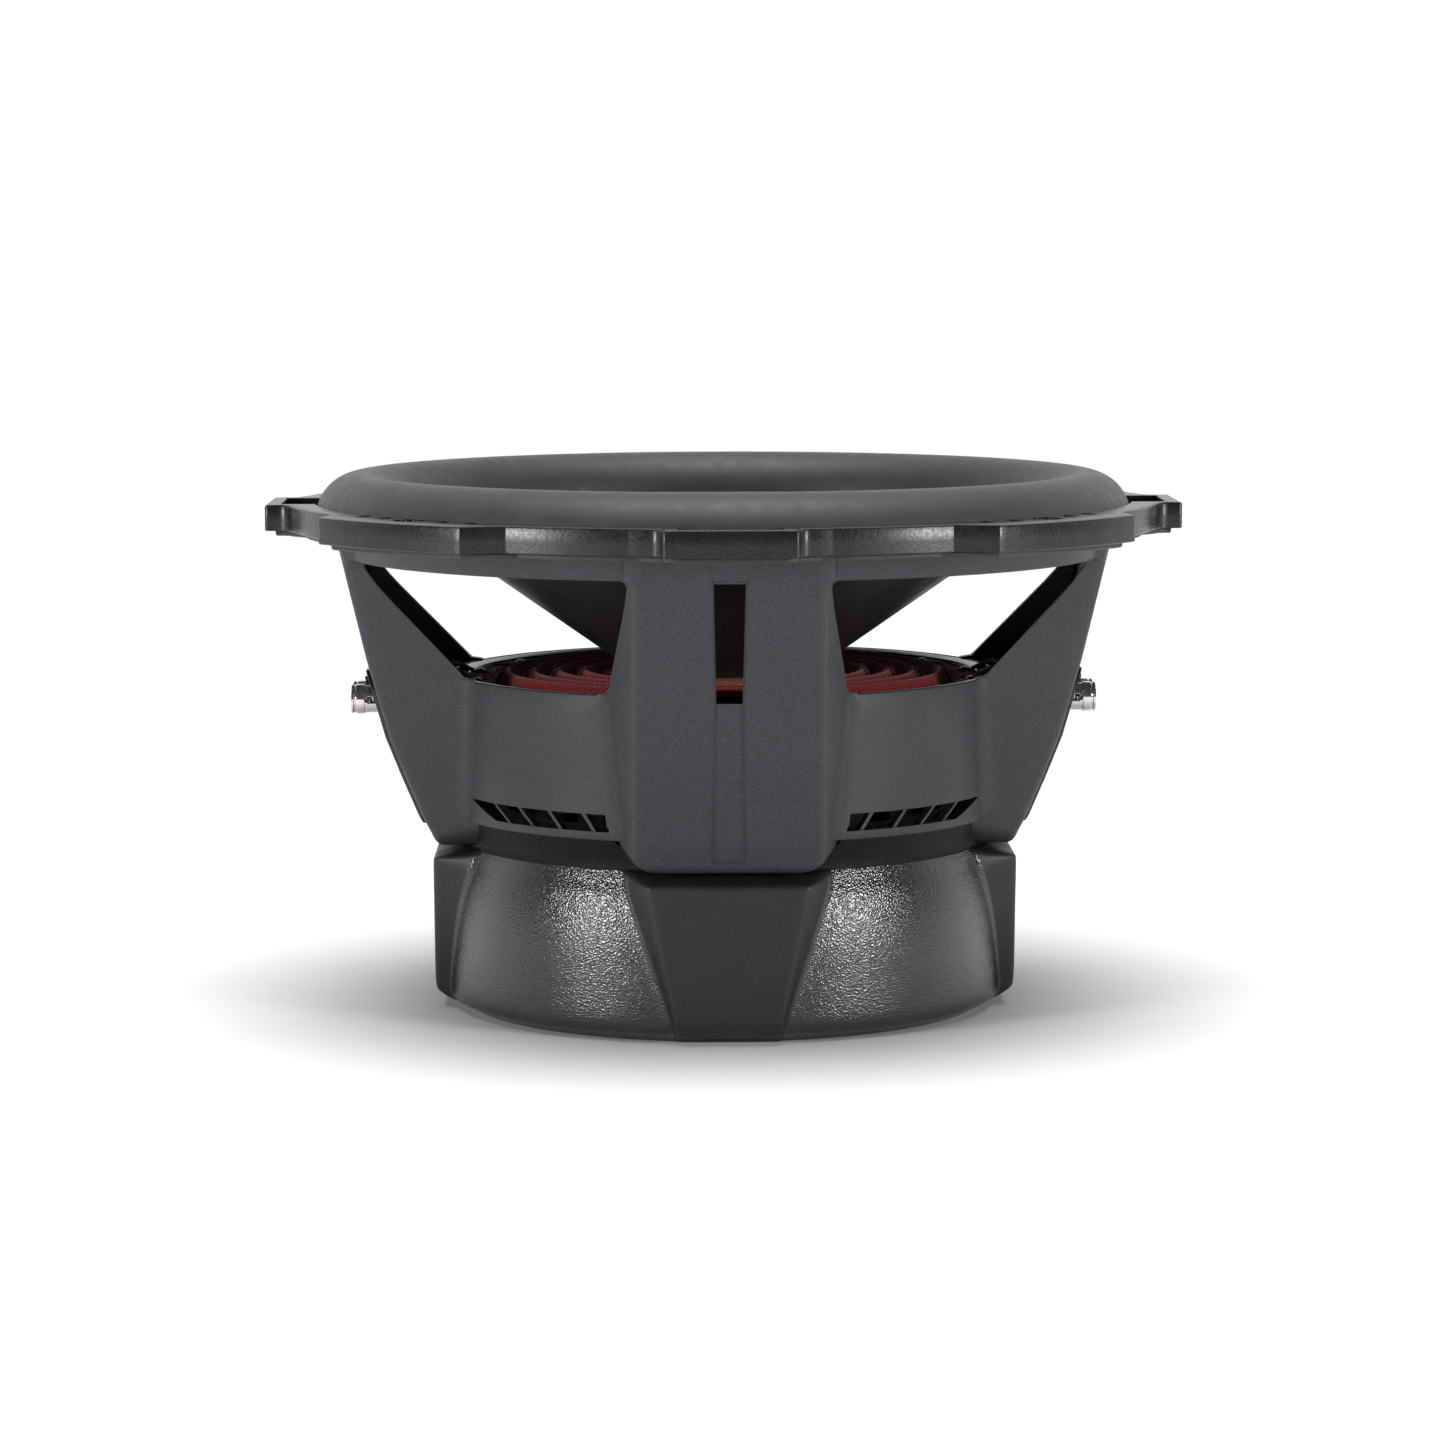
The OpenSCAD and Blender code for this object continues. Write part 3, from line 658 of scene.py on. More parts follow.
def spoke_face(z):
    """Distance of the spoke's face from the axis at height z."""
    return np.interp(z, SPOKE_Z, SPOKE_X)


def spoke_section(z, face, half, turn, face_y, drum, flare, run, clip):
    """Half of a spoke's U-shaped section at each height, from its middle to its leg's end.

    Points on the flat face, then an arc of radius turn, then the flank
    y = half + FLANK * (face - x), and last a curve that runs out along the drum.
    """
    rows = len(z)
    lean = math.atan(FLANK)
    bend = math.pi / 2 - lean
    tangent = turn * math.tan(bend / 2)
    column = np.broadcast_to(face_y, (rows, face_y.shape[-1]))
    flat = np.stack([np.broadcast_to(face[:, None], column.shape), column], -1)
    angle = np.linspace(0.0, bend, 7)[None, :]
    corner = np.stack([face[:, None] - turn + turn * np.cos(angle),
                       half - tangent + turn * np.sin(angle) + 0 * face[:, None]], -1)
    a = half + FLANK * face
    b = FLANK
    inside = np.maximum(a ** 2 * b ** 2 - (1 + b ** 2) * (a ** 2 - drum ** 2), 0.0)
    end_x = (a * b + np.sqrt(inside)) / (1 + b ** 2)
    above = np.interp(z, EDGE_Z, EDGE_X)
    end_x = np.where(z > EDGE_Z[0], above, end_x)
    end_x = np.where(z < DRUM_LOW, np.sqrt(90.3 ** 2 - np.minimum(clip, 39.4) ** 2), end_x)
    start_x = corner[:, -1, 0]
    stop_x = np.minimum(end_x + run, start_x - 0.5)
    share = np.linspace(0.25, 1.0, 4)[None, :]
    flank_x = start_x[:, None] + (stop_x - start_x)[:, None] * share
    flank = np.stack([flank_x, half + FLANK * (face[:, None] - flank_x)], -1)
    joint = np.stack([end_x, half + FLANK * (face - end_x)], -1)
    turned = np.arctan2(joint[:, 1], joint[:, 0])
    end = joint + flare[:, None] * np.stack([-np.sin(turned), np.cos(turned)], -1)
    t = np.linspace(0.2, 1.0, 5)[None, :, None]
    run_out = (1 - t) ** 2 * flank[:, -1:] + 2 * t * (1 - t) * joint[:, None] + t ** 2 * end[:, None]
    half_section = np.concatenate([flat, corner, flank, run_out], 1)
    top_flare = 3.0 * (1 - np.sqrt(np.clip(1 - ((z - 158.0) / 3.0) ** 2, 0.0, 1.0)))
    top_flare = np.where(z > 158.0, top_flare, 0.0)[:, None]
    outward = np.clip((half_section[..., 1] - half + 2.0) / 4.0, 0.0, 1.0)
    half_section[..., 1] += top_flare * outward
    half_section[..., 1] = np.minimum(half_section[..., 1], clip[:, None])
    return half_section


def both_halves(section, z):
    """Mirrors half sections over the spoke's middle and gives them their heights."""
    left = section[:, :0:-1] * (1, -1)
    whole = np.concatenate([left, section], 1)
    height = np.broadcast_to(z[:, None, None], (*whole.shape[:2], 1))
    return np.concatenate([whole, height], -1)


def spoke_form(slotted):
    """Hollow spoke on the +X side: a U-shaped section carried up from a rounded foot."""
    foot_z = np.array([58.8, 58.8, 59.0, 59.4, 60.0, 60.8, 61.8, 62.9])
    foot_x = np.array([90.9, 95.6, 98.0, 99.7, 100.9, 101.8, 102.6, 103.3])
    z = np.concatenate([
        [64.0, 65.2, 66.4, 67.6, 68.6, 69.4, 71.0], np.arange(74.0, 115.0, 4.0),
        [116.0, 117.6, 118.7, 119.2, SLOT_LOW, 120.3, 121.2, 122.2, 124.0],
        np.arange(128.0, 157.0, 4.0), [158.0, 158.8, 159.5, 160.1, SLOT_HIGH, 160.8, 161.2, 165.0, 168.8]])
    feet = len(foot_z)
    z = np.concatenate([foot_z, z])
    face = np.concatenate([foot_x, spoke_face(z[feet:])])
    clip = np.interp(z, FOOT_Z, FOOT_Y)
    slot = np.interp(z, [62.0, SLOT_LOW, SLOT_HIGH], [5.6, 4.4, 5.35])
    flare = np.interp(z, [69.4, 72.0, 116.0, 119.2], [0.0, 5.0, 5.0, 3.0])
    corner = 3.0 * (1 - np.sqrt(np.clip(1 - ((122.2 - z) / 3.0) ** 2, 0.0, 1.0)))
    flare = np.where(z > 119.2, np.where(z < 122.2, corner, 0.0), flare)
    run = np.interp(z, [69.4, 72.0, 117.0, 122.0], [0.5, 5.0, 5.0, 1.0])
    steps = np.array([8.0, 12.0, 16.0, 20.0, 24.0])
    face_y = np.concatenate([0 * slot[:, None], 0.5 * slot[:, None], slot[:, None], slot[:, None] + 0.8,
                             np.broadcast_to(steps, (len(z), 5))], 1)
    outer = spoke_section(z, face, SPOKE_HALF, 4.0, face_y, DRUM_R - 0.15, flare, run, clip)
    if slotted:
        outer[feet:, :3, 0] -= 0.9
    in_z = np.maximum(z, 64.2)
    in_face = spoke_face(in_z) - WALL
    in_face[:feet] = np.linspace(91.6, in_face[feet - 1], feet)
    inner = spoke_section(in_z, in_face, SPOKE_HALF - 3.08, 1.0, face_y, DRUM_R - 2.6,
                          0 * flare, 0 * run + 0.5, np.maximum(clip - WALL, 20.0))
    outer, inner = both_halves(outer, z), both_halves(inner, in_z)
    keep = np.ones((len(z) - 1, outer.shape[1] - 1), bool)
    if slotted:
        middle = outer.shape[1] // 2
        open_rows = (z[:-1] >= SLOT_LOW - 1e-6) & (z[1:] <= SLOT_HIGH + 1e-6)
        keep[np.ix_(open_rows, np.arange(middle - 2, middle + 2))] = False
    # Inner faces and slot walls take finish 1, the darker coat that paints in the shade inside the spoke.
    return Form().shell(outer, inner, keep, False, 1, 1)


# Vents in a quarter of the drum, as angles from the slotted spoke: an upright end,
# four ribs, and an end that slants towards the terminal spoke
VENT_LOW, VENT_HIGH = 72.0, 78.0
VENT_RIBS = ((29.3, 0.43), (37.6, 0.53), (45.6, 0.71), (53.3, 0.9))
RIB_HALF = 0.45


def ribs_form():
    """Slanted ribs across the vents, set back from the drum's skin: angle = rib + slope (z - 75)."""
    form = Form()
    z = np.array([71.3, 71.3, 74.0, 76.0, 78.7, 78.7])
    for middle, slope in VENT_RIBS:
        edge = np.array([-1.0, 1.0, 1.0, -1.0]) * RIB_HALF
        radius = np.array([97.3, 97.3, 94.6, 94.6])
        angle = middle + slope * (z - 75.0)[:, None] + edge[None, :]
        radius = np.broadcast_to(radius, angle.shape).copy()
        angle[[0, -1]] = angle[[0, -1]].mean(1, keepdims=True)
        radius[[0, -1]] = 96.0
        for start, way in ((-90.0, 1.0), (90.0, -1.0), (90.0, 1.0), (270.0, -1.0)):
            turn = np.radians(start + way * angle)
            height = np.broadcast_to(z[:, None], turn.shape)
            grid = np.stack([radius * np.cos(turn), radius * np.sin(turn), height], -1)
            form.add(grid, quads(6, 4, False, True))
    return form


def drum_form():
    """Drum wall: two cylinders over the same warped columns, with the vent cells left out."""
    marks = np.array([0.0, 24.5, 33.0, 41.5, 49.5, 60.1, 90.0])
    slopes = np.array([0.0, 0.0, 0.47, 0.6, 0.85, 1.75, 0.0])
    parts = np.maximum(np.ceil(np.diff(marks) / 1.9).astype(int), 1)
    starts = np.concatenate([[0], np.cumsum(parts)])
    place = np.arange(starts[-1] + 1)
    angle = np.interp(place, starts, marks)
    slope = np.interp(place, starts, slopes)
    open_cell = np.zeros(len(place) - 1, bool)
    open_cell[starts[1]:starts[5]] = True
    z = np.array([69.0, 69.25, 69.8, VENT_LOW, 74.0, 76.0, VENT_HIGH, 82.0, 90.0, 98.0, 106.0, 113.0,
                  118.4, 118.95, DRUM_TOP])
    skin = np.array([97.3, 97.75, DRUM_R] + [DRUM_R] * 9 + [DRUM_R, 97.75, 97.2])
    inside = np.array([94.0] * 11 + [94.2, 96.2, 96.4, 96.8])
    lean = np.clip(z, VENT_LOW, VENT_HIGH) - 75.0
    quarter = angle[None, :] + slope[None, :] * lean[:, None]
    turned = np.concatenate([quarter[:, :-1] - 90.0, 90.0 - quarter[:, :0:-1],
                             90.0 + quarter[:, :-1], 270.0 - quarter[:, :0:-1]], 1)
    whole = np.concatenate([open_cell, open_cell[::-1]] * 2)
    rows_open = (z[:-1] >= VENT_LOW) & (z[1:] <= VENT_HIGH)
    keep = ~(rows_open[:, None] & whole[None, :])
    turned = np.radians(turned)

    def at(radius):
        radius = radius[:, None]
        height = np.broadcast_to(z[:, None], turned.shape)
        return np.stack([radius * np.cos(turned), radius * np.sin(turned), height], -1)

    # Inner faces and vent walls take finish 1, the darker coat that paints in the shade inside the drum.
    return Form().shell(at(skin), at(inside), keep, True, 1, 1)


def basket_form():
    """The casting: drum, floor, spider shelf, four spokes and rim."""
    form = drum_form().join(ribs_form())
    # The floor and spider shelf take finish 1 all over, the darker coat that paints in the shade under the
    # cone.
    form.ring(rounded([(40, 62), (82.5, 62), (82.5, 69.2), (95.0, 69.2), (95.0, 71.6), (79, 71.6),
                       (79, 66), (40, 66)], 0.7), finish=1)
    form.ring(rounded([(84, 112.2), (94.6, 106.4), (96.9, 106.6), (96.9, 114.2), (84, 114.2)], 0.5),
              finish=1)
    form.ring(rounded([(130.4, RIM_LOW), (134.7, RIM_LOW), (136.7, FLANGE_LOW + 0.3),
                       (142, FLANGE_LOW + 0.4), (142, FLANGE_TOP), (133.4, FLANGE_TOP)],
                      [0.9, 0.9, 0.6, 0, 0, 0.8]))
    for place in range(4):
        form.join(spoke_form(place % 2 == 1).turned(90.0 * place))
    return form


# ---------------------------------------------------------------- ring outline

EAR_REACH = 162.0
EAR_HALF = 22.3
EAR_WALL = 5.0
RING_R = 154.0
LOBE_R = 164.5
RING_BORE = 145.2
RING_TOP = 180.0
POCKET_Z = 173.4
WEDGES = (5.6, 10.5)
BOLT_R = 2.75
BOLT_CIRCLE = 151.0


def outline(inset, cut):
    """Closed outline of the ring drawn in by inset: ears, plain stretches and lobes.

    Eighth of the outline from the middle of an ear to the middle of a lobe, mirrored over
    the 45 degree line and turned four times. Corners are softened by cut.
    """
    reach, half = EAR_REACH - inset, EAR_HALF - inset
    ear = [(reach, 0, 0), (reach, 9, 0), (reach, 17.25, 0), (reach, 17.35, 0), (reach, half, 1.3)]
    fillet = [(x, y, 0) for x, y in arc((157.2, half + 4.5), 4.5, 270, 180, 6)]
    crease = (150.3 - inset, 33.4 - inset)
    angle = math.atan2(crease[1], crease[0])
    root = (134.8, 74.2 + inset)
    stretch = arc((0, 0), RING_R - inset, math.degrees(angle), math.degrees(math.atan2(root[1], root[0])),
                  9)[1:-1]
    first = math.degrees(math.atan2(88.5 + inset, 138.6))
    turns = [first + 0.01, 33.46, 33.54, 35.46, 35.54, 38.36, 38.44, 40.36, 40.44, 42.5, 45.0]
    turns = [t for t in turns if t >= first]
    lobe = [((LOBE_R - inset) * math.cos(math.radians(t)), (LOBE_R - inset) * math.sin(math.radians(t)),
             1.0 if k == 0 else 0) for k, t in enumerate(turns)]
    eighth = np.array(ear + fillet + [(*crease, 0.5)] + [(x, y, 0) for x, y in stretch]
                      + [(*root, 0.8)] + lobe)
    mirror = eighth[-2:0:-1][:, [1, 0, 2]]
    quarter = np.concatenate([eighth, mirror])
    turned = [np.stack([quarter[:, 0] * c - quarter[:, 1] * s, quarter[:, 0] * s + quarter[:, 1] * c,
                        quarter[:, 2]], 1) for c, s in ((1, 0), (0, 1), (-1, 0), (0, -1))]
    whole = np.concatenate(turned)
    return rounded(whole[:, :2], whole[:, 2] * cut, 4)


def normals(loop):
    """Outward normal of a closed outline that runs anticlockwise."""
    along = np.roll(loop, -1, 0) - np.roll(loop, 1, 0)
    along /= np.linalg.norm(along, axis=1)[:, None]
    return np.stack([along[:, 1], -along[:, 0]], 1)


def bore_points(loop, radius):
    """Point of the bore that each outline point faces; across an ear they keep its width."""
    angle = np.degrees(np.arctan2(loop[:, 1], loop[:, 0]))
    home = np.round(angle / 90.0) * 90.0
    local = np.radians(angle - home)
    across = np.linalg.norm(loop, axis=1) * np.sin(local)
    straight = np.arcsin(np.clip(across / radius, -0.9, 0.9))
    weight = np.clip((33.4 - np.abs(across)) / (33.4 - EAR_HALF), 0.0, 1.0)
    turned = np.radians(home) + local + weight * (straight - local)
    return radius * np.stack([np.cos(turned), np.sin(turned)], 1), across, np.degrees(local)


def lay(points, z):
    """Flat points with a height each."""
    return np.concatenate([points, np.broadcast_to(np.asarray(z, float), (len(points),))[:, None]], 1)


def trim_ring_form():
    """Trim ring: each outline point is joined to the bore by a closed strip.

    A strip dips to a pocket's floor where it crosses one, inside the ears and the lobes.
    """
    loop = outline(0.0, 1.0)
    out = normals(loop)
    bore, across, local = bore_points(loop, RING_BORE)
    distance = np.linalg.norm(loop, axis=1) * np.cos(np.radians(local))
    in_ear = (np.abs(across) < EAR_HALF - EAR_WALL) & (distance > 155.0)
    off_lobe = np.abs(45.0 - np.abs(local))
    in_wedge = np.zeros(len(loop), bool)
    for wedge in WEDGES:
        in_wedge |= np.abs(off_lobe - wedge) < 1.0
    span = np.linalg.norm(loop - bore, axis=1)
    share = np.where(in_ear, (157.0 - np.sqrt(RING_BORE ** 2 - across ** 2)) / span, 0.5)
    share = np.where(in_wedge, (152.0 - RING_BORE) / span, share)
    low, top = FLANGE_TOP, RING_TOP
    floor = np.where(in_ear, POCKET_Z, np.where(in_wedge, POCKET_Z + 1.0, top))
    dip = np.where(in_ear | in_wedge, 1.0, 0.0)

    def at(t):
        return bore + (loop - bore) * np.asarray(t)[:, None]

    small = 0.35 / span
    step = 2.5 / span
    rows = [
        lay(loop - 0.35 * out, low), lay(loop, low + 0.35), lay(loop, low + 4.0), lay(loop, top - 0.8),
        lay(loop - 0.24 * out, top - 0.24), lay(loop - 0.8 * out, top),
        lay(at(share + small), top), lay(at(share), top - 0.3 * dip), lay(at(share - 0.1 * small), floor),
        lay(at(0.3 * share), floor), lay(at(small), floor), lay(bore, floor - 0.35),
        lay(bore, low + 1.3), lay(at(step), low + 1.3), lay(at(step), low),
    ]
    grid = np.stack(rows)
    return Form().add(grid, quads(*grid.shape[:2], True, True))


def flange_form():
    """Lip of the casting under the trim ring, the same outline drawn in, with a bevelled edge."""
    loop = outline(3.5, 0.5)
    out = normals(loop)
    inside, _, _ = bore_points(loop, 136.0)
    rows = [lay(loop - 0.5 * out, FLANGE_LOW), lay(loop, FLANGE_LOW + 0.5), lay(loop, FLANGE_TOP - 0.4),
            lay(loop - 0.4 * out, FLANGE_TOP - 0.03), lay(inside, FLANGE_TOP - 0.03),
            lay(inside, FLANGE_LOW)]
    grid = np.stack(rows)
    return Form().add(grid, quads(*grid.shape[:2], True, True))


def drilled(piece_object, bolts=()):
    """Cuts round holes through a piece; each is (radius, angle, low, high)."""
    cutter = Form()
    for radius, angle, low, high in bolts:
        profile = [(0, low), (radius, low), (radius, high), (0, high)]
        grid = spun(profile, 32)
        grid[..., 0] += BOLT_CIRCLE * math.cos(math.radians(angle))
        grid[..., 1] += BOLT_CIRCLE * math.sin(math.radians(angle))
        cutter.add(grid, quads(4, 32, False, True))
    tool = make_piece("hole_cutter", cutter, [RING], None)
    cut = piece_object.modifiers.new("holes", "BOOLEAN")
    cut.operation = "DIFFERENCE"
    cut.solver = "EXACT"
    cut.object = tool
    with bpy.context.temp_override(object=piece_object, active_object=piece_object):
        bpy.ops.object.modifier_apply(modifier=cut.name)
    mesh = tool.data
    bpy.data.objects.remove(tool)
    bpy.data.meshes.remove(mesh)
    piece_object.data.set_sharp_from_angle(angle=math.radians(32.0))


# Finish 1 of the casting is the painted-shade coat: darker paint where shade falls inside the basket.
make_piece("basket_casting", basket_form(), [COAT, PAINTED_SHADE_COAT], "frame", ["basket"],
           bevel=0.7, edge_finish=0)
flange = make_piece("basket_flange", flange_form(), [COAT], "frame")
drilled(flange, [(BOLT_R, 45.0 * k, 160.0, 175.0) for k in range(8)])
trim = make_piece("trim_ring_moulding", trim_ring_form(), [RING], "frame", ["trim_ring"])
drilled(trim, [(BOLT_R, 45.0 * k, 160.0, 190.0) for k in range(8)]
        + [(5.5, 45.0 + 90.0 * k, POCKET_Z, 190.0) for k in range(4)])

# ---------------------------------------------------------------- moving assembly

ROLL_R, ROLL_TOP = 129.4, 190.5
ROLL = 15.7
CONE_NECK_Z = 121.5


def cone_in(r):
    """Height of the cone's inner skin at radius r."""
    return CONE_NECK_Z + 1.2 + (r - 34.5) * 0.7


def surround_profile():
    """Foot under the trim ring, a half roll, and a lip that lies on the cone's edge."""
    middle = ROLL_TOP - ROLL
    outside = arc((ROLL_R, middle), ROLL, 2, 175, 44)
    inside = arc((ROLL_R, middle), ROLL - 1.5, 177, 0, 36)
    lip = [(111.5, 176.0), (108.2, 175.95), (107.7, 175.8), (107.6, 175.6), (111.6, 175.56)]
    foot = [(139.0, 172.0), (139.0, FLANGE_TOP), (147.5, FLANGE_TOP), (147.5, 172.0), (145.0, 172.3)]
    return np.concatenate([outside, lip, inside, foot])


def radial_weights(piece_object, fixed_r, moving_r):
    """Share of the cone's travel that each point takes: 0 at fixed_r, 1 at moving_r.

    The share t falls evenly with the distance from the axis and is then smoothed,
    t * t * (3 - 2 t), the same curve that a straight blend uses.
    """
    mesh = piece_object.data
    co = np.zeros(len(mesh.vertices) * 3, np.float32)
    mesh.vertices.foreach_get("co", co)
    radius = np.linalg.norm(co.reshape(-1, 3)[:, :2], axis=1) / MM
    t = np.clip((fixed_r - radius) / (fixed_r - moving_r), 0.0, 1.0)
    weight = (t * t * (3 - 2 * t)).astype(np.float32)
    mesh.attributes["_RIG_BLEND"].data.foreach_set("value", weight)


def blended(piece_object, fixed, moving):
    """Bends a round piece between the frame and the cone; fixed and moving are (radius, height)."""
    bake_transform(piece_object, "frame", "cone_assembly", start=(fixed[0] * MM, 0, fixed[1] * MM),
             end=(moving[0] * MM, 0, moving[1] * MM))
    radial_weights(piece_object, fixed[0], moving[0])


surround = make_piece("surround_roll", Form().ring(surround_profile(), 288), [RUBBER], None,
                      ["surround"], sharp=50)
blended(surround, (143.5, 174.9), (113.5, 176.5))

cone_profile = rounded([(33.42, 119.5), (34.7, 119.5), (36.0, CONE_NECK_Z), (112.4, cone_in(109.8) - 0.2),
                        (109.8, cone_in(109.8)), (34.5, cone_in(34.5)), (33.42, 122.5)], 0.5)
make_piece("cone_shell", Form().ring(cone_profile, 240), [CONE], "cone_assembly", ["cone"])


def dust_cap_profile():
    """Shallow dome with a rounded skirt glued to the cone."""
    edge = cone_in(52.0) + 0.1
    rise = 15.0
    ball = (52.0 ** 2 + rise ** 2) / (2 * rise)
    lean = math.degrees(math.asin(52.0 / ball))
    over = arc((0, edge + rise - ball), ball, 90 - lean, 90, 28)
    under = arc((0, edge + rise - ball), ball - 1.2, 90, 90 - lean + 2.6, 28)
    over[-1, 0] = under[0, 0] = 0.0
    return np.concatenate([[(51.6, edge - 0.2)], over, under, [(49.0, cone_in(49.0) + 0.1)]])


make_piece("dust_cap_dome", Form().ring(dust_cap_profile(), 160), [CAP], "cone_assembly",
           ["dust_cap"])

# ---------------------------------------------------------------- spider and leads

SPIDER_Z = 116.4


def wave(r):
    """Height of the spider's cloth at radius r: waves that grow towards the edge."""
    swell = np.minimum(1.0, (r - 37.0) / 10.0) * np.minimum(1.0, (86.5 - r) / 5.0)
    return SPIDER_Z + 2.9 * np.sin(TAU * (r - 38.0) / 9.4) * swell


def spider_profile():
    """Closed section of the cloth: its waves, a flat edge and a neck glued to the former."""
    r = np.linspace(37.0, 86.0, 150)
    over = np.stack([r, wave(r) + 0.42], 1)
    under = np.stack([r, wave(r) - 0.42], 1)[::-1]
    edge = [(92.0, SPIDER_Z + 0.42), (92.0, SPIDER_Z - 0.42)]
    neck = [(35.0, SPIDER_Z - 0.5), (34.3, SPIDER_Z - 4.0), (33.45, SPIDER_Z - 4.0),
            (33.45, SPIDER_Z + 0.5)]
    return np.concatenate([over, edge, under, neck])


spider = make_piece("spider_cloth_disc", Form().ring(spider_profile(), 240), [CLOTH], None,
                    ["spider"], sharp=70)
blended(spider, (86.0, 116.4), (37.0, 116.4))

ring_profile = rounded([(85.5, 114.2), (96.1, 114.2), (96.1, 118.9), (95.3, 119.1), (92.7, 118.1),
                        (92.2, 117.3), (92.2, 115.9), (85.5, 115.9)],
                       [0.2, 0.2, 0.4, 0.4, 0.5, 0.3, 0.2, 0.2])
make_piece("spider_ring_rim", Form().ring(ring_profile, 240), [GLOSS], "frame",
           ["spider_ring"])


def pins_form():
    """Sixteen low domes of glue, stretched along the edge of the spider."""
    form = Form()
    profile = np.concatenate([[(0, -0.6)], arc((0, 0), 1.0, -20, 90, 8)])
    profile[-1, 0] = 0.0
    base = spun(profile, 20)
    for k in range(16):
        turn = math.radians(11.25 + 22.5 * k)
        across = 89.2 + base[..., 0] * 1.55
        along = base[..., 1] * 2.1
        x = across * math.cos(turn) - along * math.sin(turn)
        y = across * math.sin(turn) + along * math.cos(turn)
        form.add(np.stack([x, y, SPIDER_Z + 0.5 + base[..., 2] * 1.35], -1),
                 quads(len(profile), 20, False, True))
    return form


make_piece("spider_pin_domes", pins_form(), [GLOSS], "frame", ["spider_pins"])

LEAD = ((109.8, 6.2, 109.6), (106.5, 6.6, 110.2), (102.5, 8, 115), (99.4, 10, 120.2),
        (96.2, 11.4, 120.5), (92.8, 12, 119.2), (90, 12, 117.9))


def tinsel_route():
    """Line on the cloth from its edge to the former: height = wave(r) + 0.75, then down the neck."""
    r = np.linspace(88.0, 38.0, 90)
    on_cloth = np.stack([r, 12.0 - (90.0 - r) * 0.118, wave(r) + 0.75], 1)
    return np.concatenate([[(90.0, 12.0, 117.9)], on_cloth, [(36.2, 5.6, 116.2), (35.0, 5.5, 115.0)]])

tinsel = Form()
for sx in (1, -1):
    for sy in (1, -1):
        tube_form(tinsel, tinsel_route() * (sx, sy, 1), 0.5, 8)
braid_leads = make_piece("tinsel_braids", tinsel, [BRAID], None, ["tinsel_leads"], sharp=60)
blended(braid_leads, (88.0, 119.6), (37.0, 116.0))

for side, sx in (("left", -1), ("right", 1)):
    wires = Form()
    for sy in (1, -1):
        tube_form(wires, smooth_route(LEAD, 12) * (sx, sy, 1), 0.8, 12)
    make_piece(f"wires_{side}", wires, [SLEEVE_PVC], "frame", [f"lead_wires_{side}"],
               sharp=60)

# ---------------------------------------------------------------- magnet boot

# Side of the boot between the pads, as radius and height, from its base to its collar
BULGE = ((92.0, 0.0), (92.9, 0.6), (94.2, 1.6), (97.4, 2.6), (98.9, 3.9), (99.4, 6.0), (99.5, 9.0),
         (99.35, 15.0), (99.1, 22.0), (98.8, 29.0), (98.4, 35.0), (97.6, 41.5), (96.6, 47.0),
         (95.6, 51.0), (94.6, 53.6), (94.0, 55.4), (93.5, 56.9), (93.1, 58.0), (92.8, 58.9), (92.6, 60.0),
         (92.7, 62.0), (93.6, 65.2), (95.2, 68.5), (94.8, 68.9))
# Face of a pad on the same rows
PAD_SIDE = ((92.0, 0.0), (92.9, 0.6), (94.2, 1.6), (97.4, 2.6), (99.6, 3.9), (102.6, 6.0), (103.3, 7.6),
            (103.5, 13.0), (103.5, 21.0), (103.5, 29.0), (103.5, 36.0), (103.5, 43.0), (103.5, 49.0),
            (103.5, 53.6), (103.3, 54.9), (102.4, 55.6), (99.0, 56.4), (95.0, 57.4), (92.9, 58.3),
            (92.6, 59.6), (92.7, 62.0), (93.6, 65.2), (95.2, 68.5), (94.8, 68.9))
BOOT_INSIDE = ((84.6, 68.9), (84.6, 50.0), (86.4, 50.0), (86.4, 3.5), (21.0, 3.5), (21.0, 0.0))


